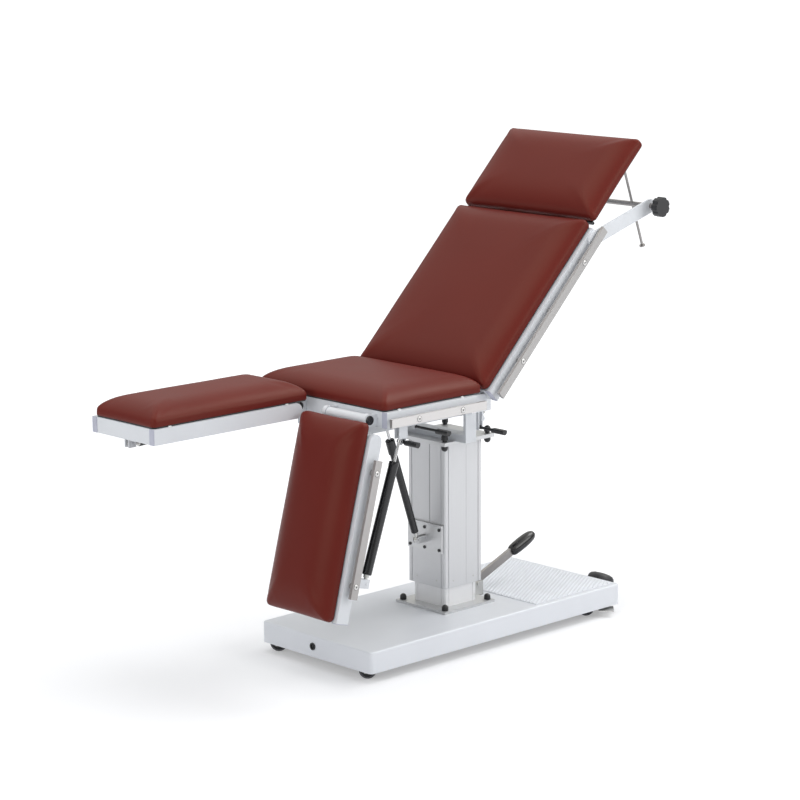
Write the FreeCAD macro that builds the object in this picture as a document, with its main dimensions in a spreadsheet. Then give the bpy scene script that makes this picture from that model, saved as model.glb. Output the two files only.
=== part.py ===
import FreeCAD, Part
import math
import os
import Sketcher

# Operating table on a lifting column, in millimetres.
# X runs towards the head end, Y across the table, Z up. The pieces are drawn about
# the axis of the column, and each is then set off by origin_x and origin_y, which
# bring the origin to the floor under the middle of the whole table.
# The back is raised, one leg section is level and the other hangs.

os.makedirs("parts", exist_ok=True)
doc = FreeCAD.newDocument("operating_table")

# Driving dimensions: one plain number for each cell of the sheet.
DIMENSIONS = {
    "origin_x": 225.345,
    "origin_y": 13,
    # Base
    "base_length": 1060,
    "base_width": 472,
    "base_bottom": 29,
    "base_top": 93,
    "cover_wall": 4,
    "cover_corner_radius": 12,
    "cover_edge_radius": 5,
    "chassis_tube_height": 40,
    "chassis_tube_width": 40,
    "chassis_tube_wall": 4,
    "chassis_tube_y": 110,
    "caster_beam_height": 25,
    "caster_beam_width": 56,
    "caster_x_foot": 486.5,
    "caster_x_head": 440,
    "caster_y": 192.5,
    "tread_start": 168,
    "tread_margin": 16,
    "tread_sheet": 2,
    "rib_pitch": 11.5,
    "rib_width": 5,
    "rib_height": 2,
    "rib_angle": 30,
    "socket_y": 11,
    "socket_radius": 11,
    # Casters
    "wheel_radius": 26,
    "wheel_width": 20,
    "wheel_hub_radius": 11,
    "caster_trail": 12,
    "caster_axle_radius": 4,
    "caster_cheek": 3,
    "caster_stem_radius": 7,
    "running_gap": 0.1,
    "side_gap": 0.5,
    # Column
    "foot_plate_size": 212,
    "foot_plate_thickness": 8,
    "foot_bolt_spacing": 180,
    "inner_column_size": 132,
    "inner_column_wall": 6,
    "inner_column_top": 590,
    "outer_column_size": 156,
    "outer_column_wall": 8,
    "outer_column_bottom": 161,
    "outer_column_top": 605,
    "guide_pad_width": 60,
    "guide_pad_height": 90,
    "corner_bead": 14,
    "flute_depth": 1.5,
    "flute_width": 3,
    "cylinder_radius": 34,
    "cylinder_top": 560,
    "piston_rod_radius": 20,
    "piston_rod_engaged": 240,
    "top_plate_size": 210,
    "top_plate_thickness": 11,
    "nut_radius": 10,
    "nut_skirt": 8,
    # Pump
    "pump_pivot_x": 122,
    "pump_pivot_z": 130,
    "pump_rise_angle": 22,
    "pump_bar_length": 176,
    "pump_bar_height": 25,
    "pump_bar_thickness": 10,
    "pump_pin_radius": 6,
    "pump_cheek": 8,
    "pump_grip_length": 112,
    "pump_grip_radius": 19,
    # Pedals
    "lower_pedal_y": -112,
    "lower_pedal_radius": 42,
    "lower_pivot_x": 498,
    "lower_pivot_z": 62,
    "brake_plate_length": 44,
    "brake_plate_width": 52,
    "brake_plate_z": 18,
    "brake_pivot_z": 46,
    "brake_pivot_x": -22,
    # Yoke and tilt axle
    "yoke_x": -40,
    "yoke_width": 44,
    "yoke_bar_height": 23,
    "yoke_cheek": 10,
    "yoke_half_span": 150,
    "tilt_axle_z": 720,
    "tilt_axle_radius": 10,
    # Table top
    "table_half_width": 278,
    "frame_height": 45,
    "frame_member": 20,
    "frame_wall": 2.5,
    "frame_middle_z": 767.5,
    "rail_height": 25,
    "rail_thickness": 10,
    "rail_face_y": 300,
    "rail_drop": 6,
    "rail_spacer_radius": 8,
    "rail_screw_radius": 8,
    "pad_half_width": 270,
    "pad_height": 62,
    "pad_inset": 42,
    "pad_shoulder": 24,
    # Seat
    "seat_front": -500,
    "seat_rear": -145,
    "seat_pad_front": -504,
    "seat_pad_rear": -111,
    "seat_rail_front": -502,
    "seat_rail_length": 376,
    "seat_rail_screw_first": 106,
    "seat_rail_screw_spacing": 173,
    "cradle_y": 127,
    "cradle_thickness": 10,
    "cradle_bottom": 697,
    "cradle_front": -470,
    "cradle_rear": 62,
    # Leg sections
    "leg_hinge_x": -530,
    "leg_drop_angle": 75,
    "leg_length": 570,
    "leg_gap": 10,
    "leg_frame_start": 57,
    "leg_pad_start": 6,
    "leg_rail_start": 105,
    "leg_rail_length": 392,
    "leg_rail_screw_inset": 36,
    "collar_radius": 19,
    "collar_width": 12,
    "collar_inner_y": 60,
    "collar_outer_y": 225,
    "barrel_radius": 16,
    "leg_pin_radius": 8,
    # Back
    "back_hinge_x": -86,
    "back_angle": 45,
    "back_start": 15,
    "back_length": 628,
    "back_rail_start": 23,
    "back_rail_length": 625,
    "back_rail_screw_inset": 128,
    "back_pad_start": 14,
    "back_pad_end": 640,
    "back_lug_y": 232,
    "back_lug_radius": 14,
    "back_pin_radius": 7,
    "lug_thickness": 14,
    # Head
    "head_hinge_s": 645,
    "head_pad_start": 652,
    "head_pad_end": 962,
    "head_board": 3,
    "head_drop": 8,
    "head_hinge_radius": 8,
    "arm_width": 42,
    "arm_thickness": 8,
    "cross_tube_s": 837,
    "cross_tube_t": -125,
    "cross_tube_radius": 8,
    "prop_y": -213,
    "prop_radius": 4,
    "prop_pivot_s": 890,
    "prop_pivot_t": -12,
    "prop_below": 143,
    "knob_radius": 30,
    "knob_disc": 9,
    "knob_gap": 4,
    "knob_out": 38,
    # Gas springs
    "pivot_pin_radius": 4,
    "eye_radius": 9,
    "eye_width": 10,
    "clevis_gap": 12,
    "clevis_cheek": 4,
    "tilt_spring_lower_x": -118,
    "tilt_spring_lower_z": 308,
    "tilt_spring_upper_x": -254,
    "tilt_spring_upper_z": 706,
    "tilt_tube_radius": 11,
    "tilt_cap_radius": 14,
    "tilt_tube_length": 340,
    "tilt_rod_radius": 4.5,
    "tilt_rod_length": 200,
    "leg_spring_y": 262,
    "leg_spring_seat_x": -432,
    "leg_spring_seat_z": 718,
    "leg_spring_u": 453,
    "leg_spring_v": -72,
    "leg_tube_radius": 14,
    "leg_tube_length": 352,
    "leg_rod_radius": 4.5,
    "leg_rod_length": 252,
    "back_spring_y": -110,
    "back_spring_seat_x": 40,
    "back_spring_seat_z": 672,
    "back_spring_s": 400,
    "back_spring_t": -44,
    "back_tube_radius": 9.5,
    "back_tube_length": 214,
    "back_rod_radius": 4.5,
    "back_rod_length": 230,
    "bracket_plate_width": 144,
    "bracket_plate_thickness": 8,
    "bracket_plate_bottom": 270,
    "bracket_plate_top": 356,
    "bracket_screw_radius": 5,
    # Release levers
    "tilt_lever_x": -150,
    "back_lever_x": 18,
    "lever_z": 663,
    "back_lever_z": 650,
    "lever_radius": 4,
    "lever_grip_radius": 9,
    "lever_grip_length": 50,
    "lever_pivot_y": -25,
    "back_lever_pivot_y": -127,
    "tilt_lever_reach": 94,
    "back_lever_reach": 56,
    "leg_lever_x": -412,
    "leg_lever_y": 246,
    "leg_lever_z": 690,
    "leg_lever_reach": 14,
}

sheet = doc.addObject("Spreadsheet::Sheet", "dims")
for row, (alias, number) in enumerate(DIMENSIONS.items(), start=1):
    sheet.set(f"A{row}", str(number))
    sheet.setAlias(f"A{row}", alias)
doc.recompute()


class Size:
    """A length or angle: the text of its formula over the sheet, and its value now."""

    def __init__(self, text, value):
        self.text = text
        self.value = float(value)

    def join(self, other, sign, result):
        return Size(f"({self.text} {sign} {other.text})", result)

    def __add__(self, other):
        other = size(other)
        return self.join(other, "+", self.value + other.value)

    def __sub__(self, other):
        other = size(other)
        return self.join(other, "-", self.value - other.value)

    def __mul__(self, other):
        other = size(other)
        return self.join(other, "*", self.value * other.value)

    def __truediv__(self, other):
        other = size(other)
        return self.join(other, "/", self.value / other.value)

    def __radd__(self, other):
        return size(other) + self

    def __rsub__(self, other):
        return size(other) - self

    def __rmul__(self, other):
        return size(other) * self

    def __neg__(self):
        return size(0) - self


def size(number):
    if isinstance(number, Size):
        return number
    return Size(repr(float(number)), number)


def ordered(one, other):
    return sorted((size(one), size(other)), key=lambda s: s.value)


def cos(angle):
    return Size(f"cos({angle.text})", math.cos(math.radians(angle.value)))


def sin(angle):
    return Size(f"sin({angle.text})", math.sin(math.radians(angle.value)))


def root(square):
    return Size(f"sqrt({square.text})", math.sqrt(square.value))


def heading(across, up):
    """Angle from the vertical, in degrees, of a line that runs across and up."""
    angle = math.degrees(math.atan2(across.value, up.value))
    return Size(f"atan2({across.text}; {up.text})", angle)


D = {alias: Size(f"dims.{alias}", number) for alias, number in DIMENSIONS.items()}
SIDES = (-1, 1)
SOLIDS = {}


def bind(obj, **formulas):
    for prop, formula in formulas.items():
        obj.setExpression(prop.replace("__", "."), size(formula).text)


def place(obj, x=0, y=0, z=0):
    bind(obj, Placement__Base__x=x, Placement__Base__y=y, Placement__Base__z=z)


def step(kind, name):
    obj = doc.addObject(kind, name)
    return obj


def box(x0, x1, y0, y1, z0, z1, name="block"):
    obj = step("Part::Box", name)
    bind(obj, Length=size(x1) - x0, Width=size(y1) - y0, Height=size(z1) - z0)
    place(obj, x0, y0, z0)
    return obj


def rod(axis, start, end, centre, radius, name="round"):
    """Cylinder from start to end along an axis; centre holds the other two places."""
    obj = step("Part::Cylinder", name)
    bind(obj, Radius=radius, Height=size(end) - start)
    first, second = centre
    if axis == "x":
        obj.Placement.Rotation = FreeCAD.Rotation(FreeCAD.Vector(0, 1, 0), 90)
        place(obj, start, first, second)
    elif axis == "y":
        obj.Placement.Rotation = FreeCAD.Rotation(FreeCAD.Vector(1, 0, 0), -90)
        place(obj, first, start, second)
    else:
        place(obj, first, second, start)
    return obj


def fuse(pieces, name="joined"):
    if len(pieces) == 1:
        return pieces[0]
    obj = step("Part::MultiFuse", name)
    obj.Shapes = pieces
    obj.Refine = True
    return obj


def cut(base, tools, name="opened"):
    obj = step("Part::Cut", name)
    obj.Base = base
    obj.Tool = fuse(tools)
    obj.Refine = True
    return obj


def group(pieces, name="set"):
    obj = step("Part::Compound", name)
    obj.Links = pieces
    return obj


def node(label, obj):
    """Name a finished piece and set it off from the column to the origin."""
    obj.Label = f"{label}_drawn"
    piece = group([obj], label)
    piece.Label = label
    place(piece, D["origin_x"], D["origin_y"], 0)
    SOLIDS[label] = piece
    return piece


def swing(obj, pivot_x, pivot_z, angle):
    """Turn a piece drawn flat about a hinge that runs along Y."""
    across, up = size(pivot_x), size(pivot_z)
    obj.Placement.Rotation = FreeCAD.Rotation(FreeCAD.Vector(0, 1, 0), angle.value)
    bind(obj, Placement__Rotation__Angle=angle)
    place(obj,
          across - (across * cos(angle) + up * sin(angle)),
          0,
          up - (up * cos(angle) - across * sin(angle)))
    return obj


def swung(x, z, pivot_x, pivot_z, angle):
    """Where a point drawn flat comes to lie once its piece has been swung."""
    across, up = size(x) - pivot_x, size(z) - pivot_z
    return (size(pivot_x) + across * cos(angle) + up * sin(angle),
            size(pivot_z) + up * cos(angle) - across * sin(angle))


def body(name):
    return doc.addObject("PartDesign::Body", name)


def sketch(owner, role, offset=0, name="outline"):
    obj = owner.newObject("Sketcher::SketchObject", name)
    plane = next(f for f in owner.Origin.OriginFeatures if f.Role == role)
    obj.AttachmentSupport = (plane, "")
    obj.MapMode = "FlatFace"
    bind(obj, AttachmentOffset__Base__z=offset)
    return obj


def fix(drawing, constraint, formula):
    index = drawing.addConstraint(constraint)
    drawing.setExpression(f"Constraints[{index}]", size(formula).text)


def polygon(drawing, points):
    """Closed outline of straight lines, each corner held to its own two sizes."""
    points = [(size(u), size(v)) for u, v in points]
    first = drawing.GeometryCount
    count = len(points)
    for i, (u, v) in enumerate(points):
        far_u, far_v = points[(i + 1) % count]
        start = FreeCAD.Vector(u.value, v.value, 0)
        end = FreeCAD.Vector(far_u.value, far_v.value, 0)
        drawing.addGeometry(Part.LineSegment(start, end), False)
    for i in range(count):
        line, following = first + i, first + (i + 1) % count
        drawing.addConstraint(Sketcher.Constraint("Coincident", line, 2, following, 1))
    for i, (u, v) in enumerate(points):
        line = first + i
        fix(drawing, Sketcher.Constraint("DistanceX", -1, 1, line, 1, u.value), u)
        fix(drawing, Sketcher.Constraint("DistanceY", -1, 1, line, 1, v.value), v)


def circle(drawing, u, v, radius):
    u, v, radius = size(u), size(v), size(radius)
    centre = FreeCAD.Vector(u.value, v.value, 0)
    up = FreeCAD.Vector(0, 0, 1)
    line = drawing.addGeometry(Part.Circle(centre, up, radius.value), False)
    fix(drawing, Sketcher.Constraint("Radius", line, radius.value), radius)
    fix(drawing, Sketcher.Constraint("DistanceX", -1, 1, line, 3, u.value), u)
    fix(drawing, Sketcher.Constraint("DistanceY", -1, 1, line, 3, v.value), v)


def pad(owner, drawing, length, middle=False, name="pad"):
    obj = owner.newObject("PartDesign::Pad", name)
    obj.Profile = drawing
    bind(obj, Length=length)
    obj.Midplane = middle
    return obj


def pocket(owner, drawing, length, forward=False, name="pocket"):
    obj = owner.newObject("PartDesign::Pocket", name)
    obj.Profile = drawing
    bind(obj, Length=length)
    obj.Reversed = forward
    return obj


def revolve(owner, points, name="turned"):
    """Turn an outline of (radius, height) points about the local Z axis."""
    drawing = sketch(owner, "XZ_Plane")
    polygon(drawing, points)
    obj = owner.newObject("PartDesign::Revolution", name)
    obj.Profile = drawing
    obj.ReferenceAxis = (drawing, ["V_Axis"])
    obj.Angle = 360
    return obj


def turned(points, name="turned"):
    owner = body(name)
    revolve(owner, points)
    return owner


def edges_where(feature, test):
    """Names of the edges of a feature whose two ends both pass a test."""
    doc.recompute()
    names = []
    for i, edge in enumerate(feature.Shape.Edges, start=1):
        if all(test(vertex.Point) for vertex in edge.Vertexes) and edge.Vertexes:
            names.append(f"Edge{i}")
    return names


def round_edges(owner, feature, names, radius, kind="PartDesign::Fillet"):
    obj = owner.newObject(kind, "rounding")
    obj.Base = (feature, names)
    prop = "Radius" if kind == "PartDesign::Fillet" else "Size"
    obj.setExpression(prop, size(radius).text)
    return obj


def rectangle(x0, x1, y0, y1):
    return [(x0, y0), (x1, y0), (x1, y1), (x0, y1)]


def near(value, target):
    return abs(value - target) < 0.01


# Sizes that several pieces share.
half_length = D["base_length"] / 2
half_width = D["base_width"] / 2
cover_inside = D["base_top"] - D["cover_wall"]
chassis_bottom = cover_inside - D["chassis_tube_height"]
beam_bottom = cover_inside - D["caster_beam_height"]
foot_plate_top = D["base_top"] + D["foot_plate_thickness"]
inner_half = D["inner_column_size"] / 2
outer_half = D["outer_column_size"] / 2
outer_inside = outer_half - D["outer_column_wall"]
plate_top = D["outer_column_top"] + D["top_plate_thickness"]
frame_top = D["frame_middle_z"] + D["frame_height"] / 2
frame_bottom = D["frame_middle_z"] - D["frame_height"] / 2
rail_bottom = D["frame_middle_z"] - D["rail_drop"] - D["rail_height"] / 2
rail_inner_y = D["rail_face_y"] - D["rail_thickness"]
member_inner_y = D["table_half_width"] - D["frame_member"]
gap = D["running_gap"]
side_gap = D["side_gap"]


def rounded_box(owner, length, width, corner, z0, z1):
    """Pad of a rectangle about the origin, its upright corners rounded."""
    drawing = sketch(owner, "XY_Plane", z0)
    polygon(drawing, rectangle(-length, length, -width, width))
    block = pad(owner, drawing, size(z1) - z0)
    upright = edges_where(block, lambda p: True)
    names = []
    for name in upright:
        edge = block.Shape.getElement(name)
        ends = [vertex.Point for vertex in edge.Vertexes]
        if near(ends[0].x, ends[1].x) and near(ends[0].y, ends[1].y):
            names.append(name)
    return round_edges(owner, block, names, corner)


# The cover of the base is a deep tray of sheet, open below.
def base_cover():
    owner = body("base_cover")
    shell = rounded_box(owner, half_length, half_width, D["cover_corner_radius"],
                        D["base_bottom"], D["base_top"])
    top = D["base_top"].value
    rim = edges_where(shell, lambda p: near(p.z, top))
    round_edges(owner, shell, rim, D["cover_edge_radius"])
    wall = D["cover_wall"]
    hollow = sketch(owner, "XY_Plane", cover_inside, "hollow")
    polygon(hollow, rectangle(wall - half_length, half_length - wall,
                              wall - half_width, half_width - wall))
    pocket(owner, hollow, cover_inside - D["base_bottom"] + 1)
    slot = sketch(owner, "XY_Plane", D["base_top"] + 1, "pump_slot")
    slot_half = D["clevis_gap"] + D["pump_cheek"] + 4
    polygon(slot, rectangle(pump_cheek_front - 2, pump_cheek_back + 2,
                            -slot_half, slot_half))
    circle(slot, 0, 0, D["cylinder_radius"] + 2)
    pocket(owner, slot, D["cover_wall"] + 2)
    window = sketch(owner, "YZ_Plane", half_length + 1, "pedal_window")
    arm_y = D["lower_pedal_y"]
    polygon(window, rectangle(arm_y - 14, arm_y + 14,
                              D["lower_pivot_z"] - 14, D["lower_pivot_z"] + 20))
    pocket(owner, window, D["cover_wall"] + 2)
    plug = sketch(owner, "YZ_Plane", -half_length - 1, "socket_hole")
    circle(plug, D["socket_y"], socket_z, D["socket_radius"] - 2)
    pocket(owner, plug, D["cover_wall"] + 2, forward=True)
    node("base_cover", owner)


pump_cheek_front = D["pump_pivot_x"] - 14
pump_cheek_back = D["pump_pivot_x"] + 22
socket_z = (D["base_bottom"] + D["base_top"]) / 2


def chassis():
    """Two long tubes carry the column; a beam at each end carries two casters."""
    wall = D["chassis_tube_wall"]
    y = D["chassis_tube_y"]
    half = D["chassis_tube_width"] / 2
    end = half_length - D["cover_wall"] - 12
    tubes = []
    for side in SIDES:
        outer = box(-end, end, side * y - half, side * y + half,
                    chassis_bottom, cover_inside, "long_tube")
        inner = box(-end - 1, end + 1, side * y - half + wall, side * y + half - wall,
                    chassis_bottom + wall, cover_inside - wall, "tube_bore")
        tubes.append(cut(outer, [inner]))
    beams = []
    holes = []
    for x in (-D["caster_x_foot"], D["caster_x_head"]):
        reach = D["caster_beam_width"] / 2
        beams.append(box(x - reach, x + reach, -half_width + 16, half_width - 16,
                         beam_bottom, cover_inside, "caster_beam"))
        for side in SIDES:
            holes.append(rod("z", beam_bottom - 1, cover_inside - 3,
                             (x, side * D["caster_y"]),
                             D["caster_stem_radius"] + gap, "stem_hole"))
    bed = box(-D["foot_plate_size"] / 2, D["foot_plate_size"] / 2, -y, y,
              cover_inside - 10, cover_inside, "column_bed")
    opening = rod("z", cover_inside - 11, cover_inside + 1, (0, 0),
                  D["cylinder_radius"], "cylinder_opening")
    welded = fuse(tubes + beams + [bed])
    pivot_beam = box(D["lower_pivot_x"] - 10, end, D["lower_pedal_y"] - 24,
                     D["lower_pedal_y"] - 10, D["lower_pivot_z"] - 12,
                     cover_inside, "pedal_ear")
    far_ear = box(D["lower_pivot_x"] - 10, end, D["lower_pedal_y"] + 10,
                  D["lower_pedal_y"] + 24, D["lower_pivot_z"] - 12,
                  cover_inside, "pedal_ear")
    frame = fuse([welded, pivot_beam, far_ear])
    holes.append(rod("y", D["lower_pedal_y"] - 24, D["lower_pedal_y"] + 24,
                     (D["lower_pivot_x"], D["lower_pivot_z"]), 4, "pin_hole"))
    pedal_slot = box(D["lower_pivot_x"] - 24, end + 1, D["lower_pedal_y"] - 10,
                     D["lower_pedal_y"] + 10, chassis_bottom - 1, cover_inside - 6,
                     "pedal_room")
    node("chassis_frame", cut(frame, holes + [opening, pedal_slot]))


def tread_mat():
    """Sheet with slanting ribs, on the head half of the cover."""
    start = D["tread_start"]
    end = half_length - D["tread_margin"]
    half = half_width - D["tread_margin"]
    low = D["base_top"]
    sheet_top = low + D["tread_sheet"]
    sheet_body = box(start, end, -half, half, low, sheet_top, "mat_sheet")
    lean = math.radians(D["rib_angle"].value)
    pitch = D["rib_pitch"].value / math.sin(lean)
    rise = D["rib_height"].value
    width = D["rib_width"].value
    area = Part.makeBox(end.value - start.value - 8, 2 * half.value - 8, rise,
                        FreeCAD.Vector(start.value + 4, 4 - half.value, sheet_top.value))
    reach = 2 * half.value / math.tan(lean)
    ribs = []
    x = start.value - reach
    while x < end.value:
        bar = Part.makeBox(2.4 * half.value / math.sin(lean), width, rise,
                           FreeCAD.Vector(0, 0, 0))
        bar.rotate(FreeCAD.Vector(0, 0, 0), FreeCAD.Vector(0, 0, 1),
                   math.degrees(lean))
        bar.translate(FreeCAD.Vector(x, -half.value - width, sheet_top.value))
        kept = bar.common(area)
        if kept.Volume > 100:
            ribs.append(kept)
        x += pitch
    ribbing = doc.addObject("Part::Feature", "mat_ribs")
    ribbing.Shape = Part.makeCompound(ribs)
    node("tread_mat", fuse([sheet_body, ribbing]))


def earth_socket():
    """Bonding plug in the foot face: a black ring round a brass pin."""
    face = -half_length
    ring = rod("x", face - 3, face, (D["socket_y"], socket_z), D["socket_radius"])
    well = rod("x", face - 4, face + 10, (D["socket_y"], socket_z),
               D["socket_radius"] - 4)
    shank = rod("x", face - 1, face + 14, (D["socket_y"], socket_z),
                D["socket_radius"] - 3)
    pin = rod("x", face - 2, face + 11, (D["socket_y"], socket_z), 3)
    node("earth_socket", fuse([cut(fuse([ring, shank]), [well]), pin]))


def dome_nut(x, y, z, up=True):
    """Cap nut: a skirt with a half ball on top."""
    radius, skirt = D["nut_radius"], D["nut_skirt"]
    sign = 1 if up else -1
    base = size(z)
    top = base + skirt * sign
    low, high = (base, top) if up else (top, base)
    ball = step("Part::Sphere", "nut_dome")
    ball.Angle1 = 0 if up else -90
    ball.Angle2 = 90 if up else 0
    bind(ball, Radius=radius)
    place(ball, x, y, top)
    return fuse([rod("z", low, high, (x, y), radius), ball], "cap_nut")


def column_foot():
    half = D["foot_plate_size"] / 2
    reach = D["foot_bolt_spacing"] / 2
    plate = box(-half, half, -half, half, D["base_top"], foot_plate_top, "plate")
    opening = rod("z", D["base_top"] - 1, foot_plate_top + 1, (0, 0),
                  D["cylinder_radius"] + 2, "cylinder_opening")
    holes = [opening]
    nuts = []
    for sx in SIDES:
        for sy in SIDES:
            nuts.append(dome_nut(sx * reach, sy * reach, foot_plate_top))
    node("column_foot_plate", cut(plate, holes))
    node("foot_plate_nuts", group(nuts))


def profile_points(half):
    """Square outline whose corners carry a round-shouldered bead and grooves."""
    bead, width, depth = D["corner_bead"], D["flute_width"], D["flute_depth"]
    inner = size(half) - bead
    quarter = [
        (inner - width, -half), (inner - width, depth - half),
        (inner, depth - half), (inner, -half),
        (size(half) - 3, -half), (half, 3 - size(half)),
        (half, -inner), (size(half) - depth, -inner),
        (size(half) - depth, width - inner), (half, width - inner),
    ]
    points = []
    for turn in range(4):
        for u, v in quarter:
            u, v = size(u), size(v)
            for _ in range(turn):
                u, v = -v, u
            points.append((u, v))
    return points


def column_profile(label, half, wall, z0, z1):
    owner = body(label)
    drawing = sketch(owner, "XY_Plane", z0)
    polygon(drawing, profile_points(half))
    inside = size(half) - wall
    polygon(drawing, rectangle(-inside, inside, -inside, inside))
    pad(owner, drawing, size(z1) - z0)
    return owner


def inner_column():
    owner = column_profile("inner_column", inner_half, D["inner_column_wall"],
                           foot_plate_top, D["inner_column_top"])
    slot = sketch(owner, "YZ_Plane", inner_half - D["inner_column_wall"] - 1, "lever_slot")
    polygon(slot, rectangle(-24, 24, foot_plate_top - 1, foot_plate_top + 50))
    pocket(owner, slot, D["inner_column_wall"] + 2, forward=True)
    pads = []
    width = D["guide_pad_width"] / 2
    top = D["inner_column_top"] - 8
    bottom = top - D["guide_pad_height"]
    face = inner_half
    reach = outer_inside - gap
    for side in SIDES:
        low, high = ordered(side * face, side * reach)
        pads.append(box(low, high, -width, width, bottom, top, "guide_pad"))
        pads.append(box(-width, width, low, high, bottom, top, "guide_pad"))
    node("inner_column", fuse([owner] + pads))


def hydraulics():
    """Lifting cylinder on its pump block, and the rod that lifts the table."""
    radius = D["cylinder_radius"]
    bore = D["piston_rod_radius"] + gap
    block_top = cover_inside - 12
    tube = rod("z", block_top, D["cylinder_top"], (0, 0), radius - 2, "cylinder")
    block = box(-60, D["pump_pivot_x"] - 18, -46, 46, chassis_bottom + 4, block_top,
                "pump_block")
    bore_cut = rod("z", block_top + 6, D["cylinder_top"] + 1, (0, 0), bore, "bore")
    rod_bottom = D["inner_column_top"] - D["piston_rod_engaged"]
    node("piston_rod", rod("z", rod_bottom, D["outer_column_top"], (0, 0),
                           D["piston_rod_radius"]))
    cheeks = []
    low = chassis_bottom + 4
    for side in SIDES:
        near_face = side * D["clevis_gap"]
        far_face = side * (D["clevis_gap"] + D["pump_cheek"])
        y0, y1 = ordered(near_face, far_face)
        cheeks.append(box(pump_cheek_front, pump_cheek_back, y0, y1, low,
                          D["pump_pivot_z"] + 6, "cheek"))
    foot = box(pump_cheek_front - 4, pump_cheek_back, -20, 20, low,
               block_top, "bracket_foot")
    pin = rod("y", -D["clevis_gap"] - 12, D["clevis_gap"] + 12,
              (D["pump_pivot_x"], D["pump_pivot_z"]), D["pump_pin_radius"], "pin")
    unit = fuse([tube, block, foot, pin] + cheeks)
    node("hydraulic_unit", cut(unit, [bore_cut]))


def pump_lever():
    """Flat bar that leaves the bracket at a slope and ends in an oval grip."""
    x, z = D["pump_pivot_x"], D["pump_pivot_z"]
    half = D["pump_bar_thickness"] / 2
    length = D["pump_bar_length"]
    bar = box(x, x + length, -half, half, z - D["pump_bar_height"] / 2,
              z + D["pump_bar_height"] / 2, "bar")
    hub = rod("y", -D["clevis_gap"] + side_gap, D["clevis_gap"] - side_gap, (x, z),
              D["pump_bar_height"] / 2, "hub")
    eye = rod("y", -D["clevis_gap"] - 1, D["clevis_gap"] + 1, (x, z),
              D["pump_pin_radius"] + gap, "eye")
    slope = -D["pump_rise_angle"]
    node("pump_lever", swing(cut(fuse([bar, hub]), [eye]), x, z, slope))
    owner = body("pump_pedal_grip")
    grip = D["pump_grip_radius"]
    long_half = D["pump_grip_length"] / 2
    drawing = sketch(owner, "XZ_Plane")
    polygon(drawing, [(x + length, z - grip), (x + length + long_half * 1.5, z - grip),
                      (x + length + long_half * 1.9, z - grip * 0.4),
                      (x + length + long_half * 2, z + grip * 0.3),
                      (x + length + long_half * 1.6, z + grip),
                      (x + length + long_half * 0.4, z + grip),
                      (x + length, z + grip * 0.5)])
    lump = pad(owner, drawing, grip * 1.8, middle=True)
    everywhere = edges_where(lump, lambda p: True)
    round_edges(owner, lump, everywhere, grip * 0.36)
    node("pump_pedal_grip", swing(owner, x, z, slope))


def lowering_pedal():
    """Round tread pad on a short arm at the head end."""
    x, z = D["lower_pivot_x"], D["lower_pivot_z"]
    y = D["lower_pedal_y"]
    arm = box(x, x + 78, y - 8, y + 8, z - 6, z + 6, "arm")
    hub = rod("y", y - 9, y + 9, (x, z), 9, "hub")
    owner = body("tread_disc")
    disc = D["lower_pedal_radius"]
    revolve(owner, [(0, 0), (disc - 3, 0), (disc, 3), (disc, 12), (disc - 6, 17), (0, 19)])
    owner.Placement.Rotation = FreeCAD.Rotation(FreeCAD.Vector(0, 1, 0), 22)
    place(owner, x + 76, y, z)
    pin = rod("y", y - 24, y + 24, (x, z), 4, "pin")
    eye = rod("y", y - 25, y + 25, (x, z), 4 + gap, "eye")
    node("lowering_pedal", cut(fuse([arm, hub, owner]), [eye]))
    node("lowering_pedal_pin", pin)


def brake_pedal():
    """Bent tread plate on the leading side of the near caster at the head end."""
    x, z = D["brake_pivot_x"], D["brake_pivot_z"]
    half = D["brake_plate_width"] / 2
    low = D["brake_plate_z"]
    end = x - 8 - D["brake_plate_length"]
    tread = box(end, x - 4, -half, half, low, low + 4, "tread")
    web = box(x - 8, x - 4, -9, 9, low, z, "web")
    arm = box(x - 8, x, -9, 9, z - 4, z + 4, "arm")
    hub = rod("y", -9, 9, (x, z), 5, "hub")
    eye = rod("y", -10, 10, (x, z), 2.5 + gap, "eye")
    pedal = cut(fuse([tread, web, arm, hub]), [eye])
    course = CASTERS["head_near"][2]
    pedal.Placement.Rotation = FreeCAD.Rotation(FreeCAD.Vector(0, 0, 1), course)
    place(pedal, D["caster_x_head"], -D["caster_y"], 0)
    node("brake_pedal", pedal)


CASTERS = {
    "foot_near": (-1, -1, 135),
    "foot_far": (-1, 1, 135),
    "head_near": (1, -1, 135),
    "head_far": (1, 1, 135),
}


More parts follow.
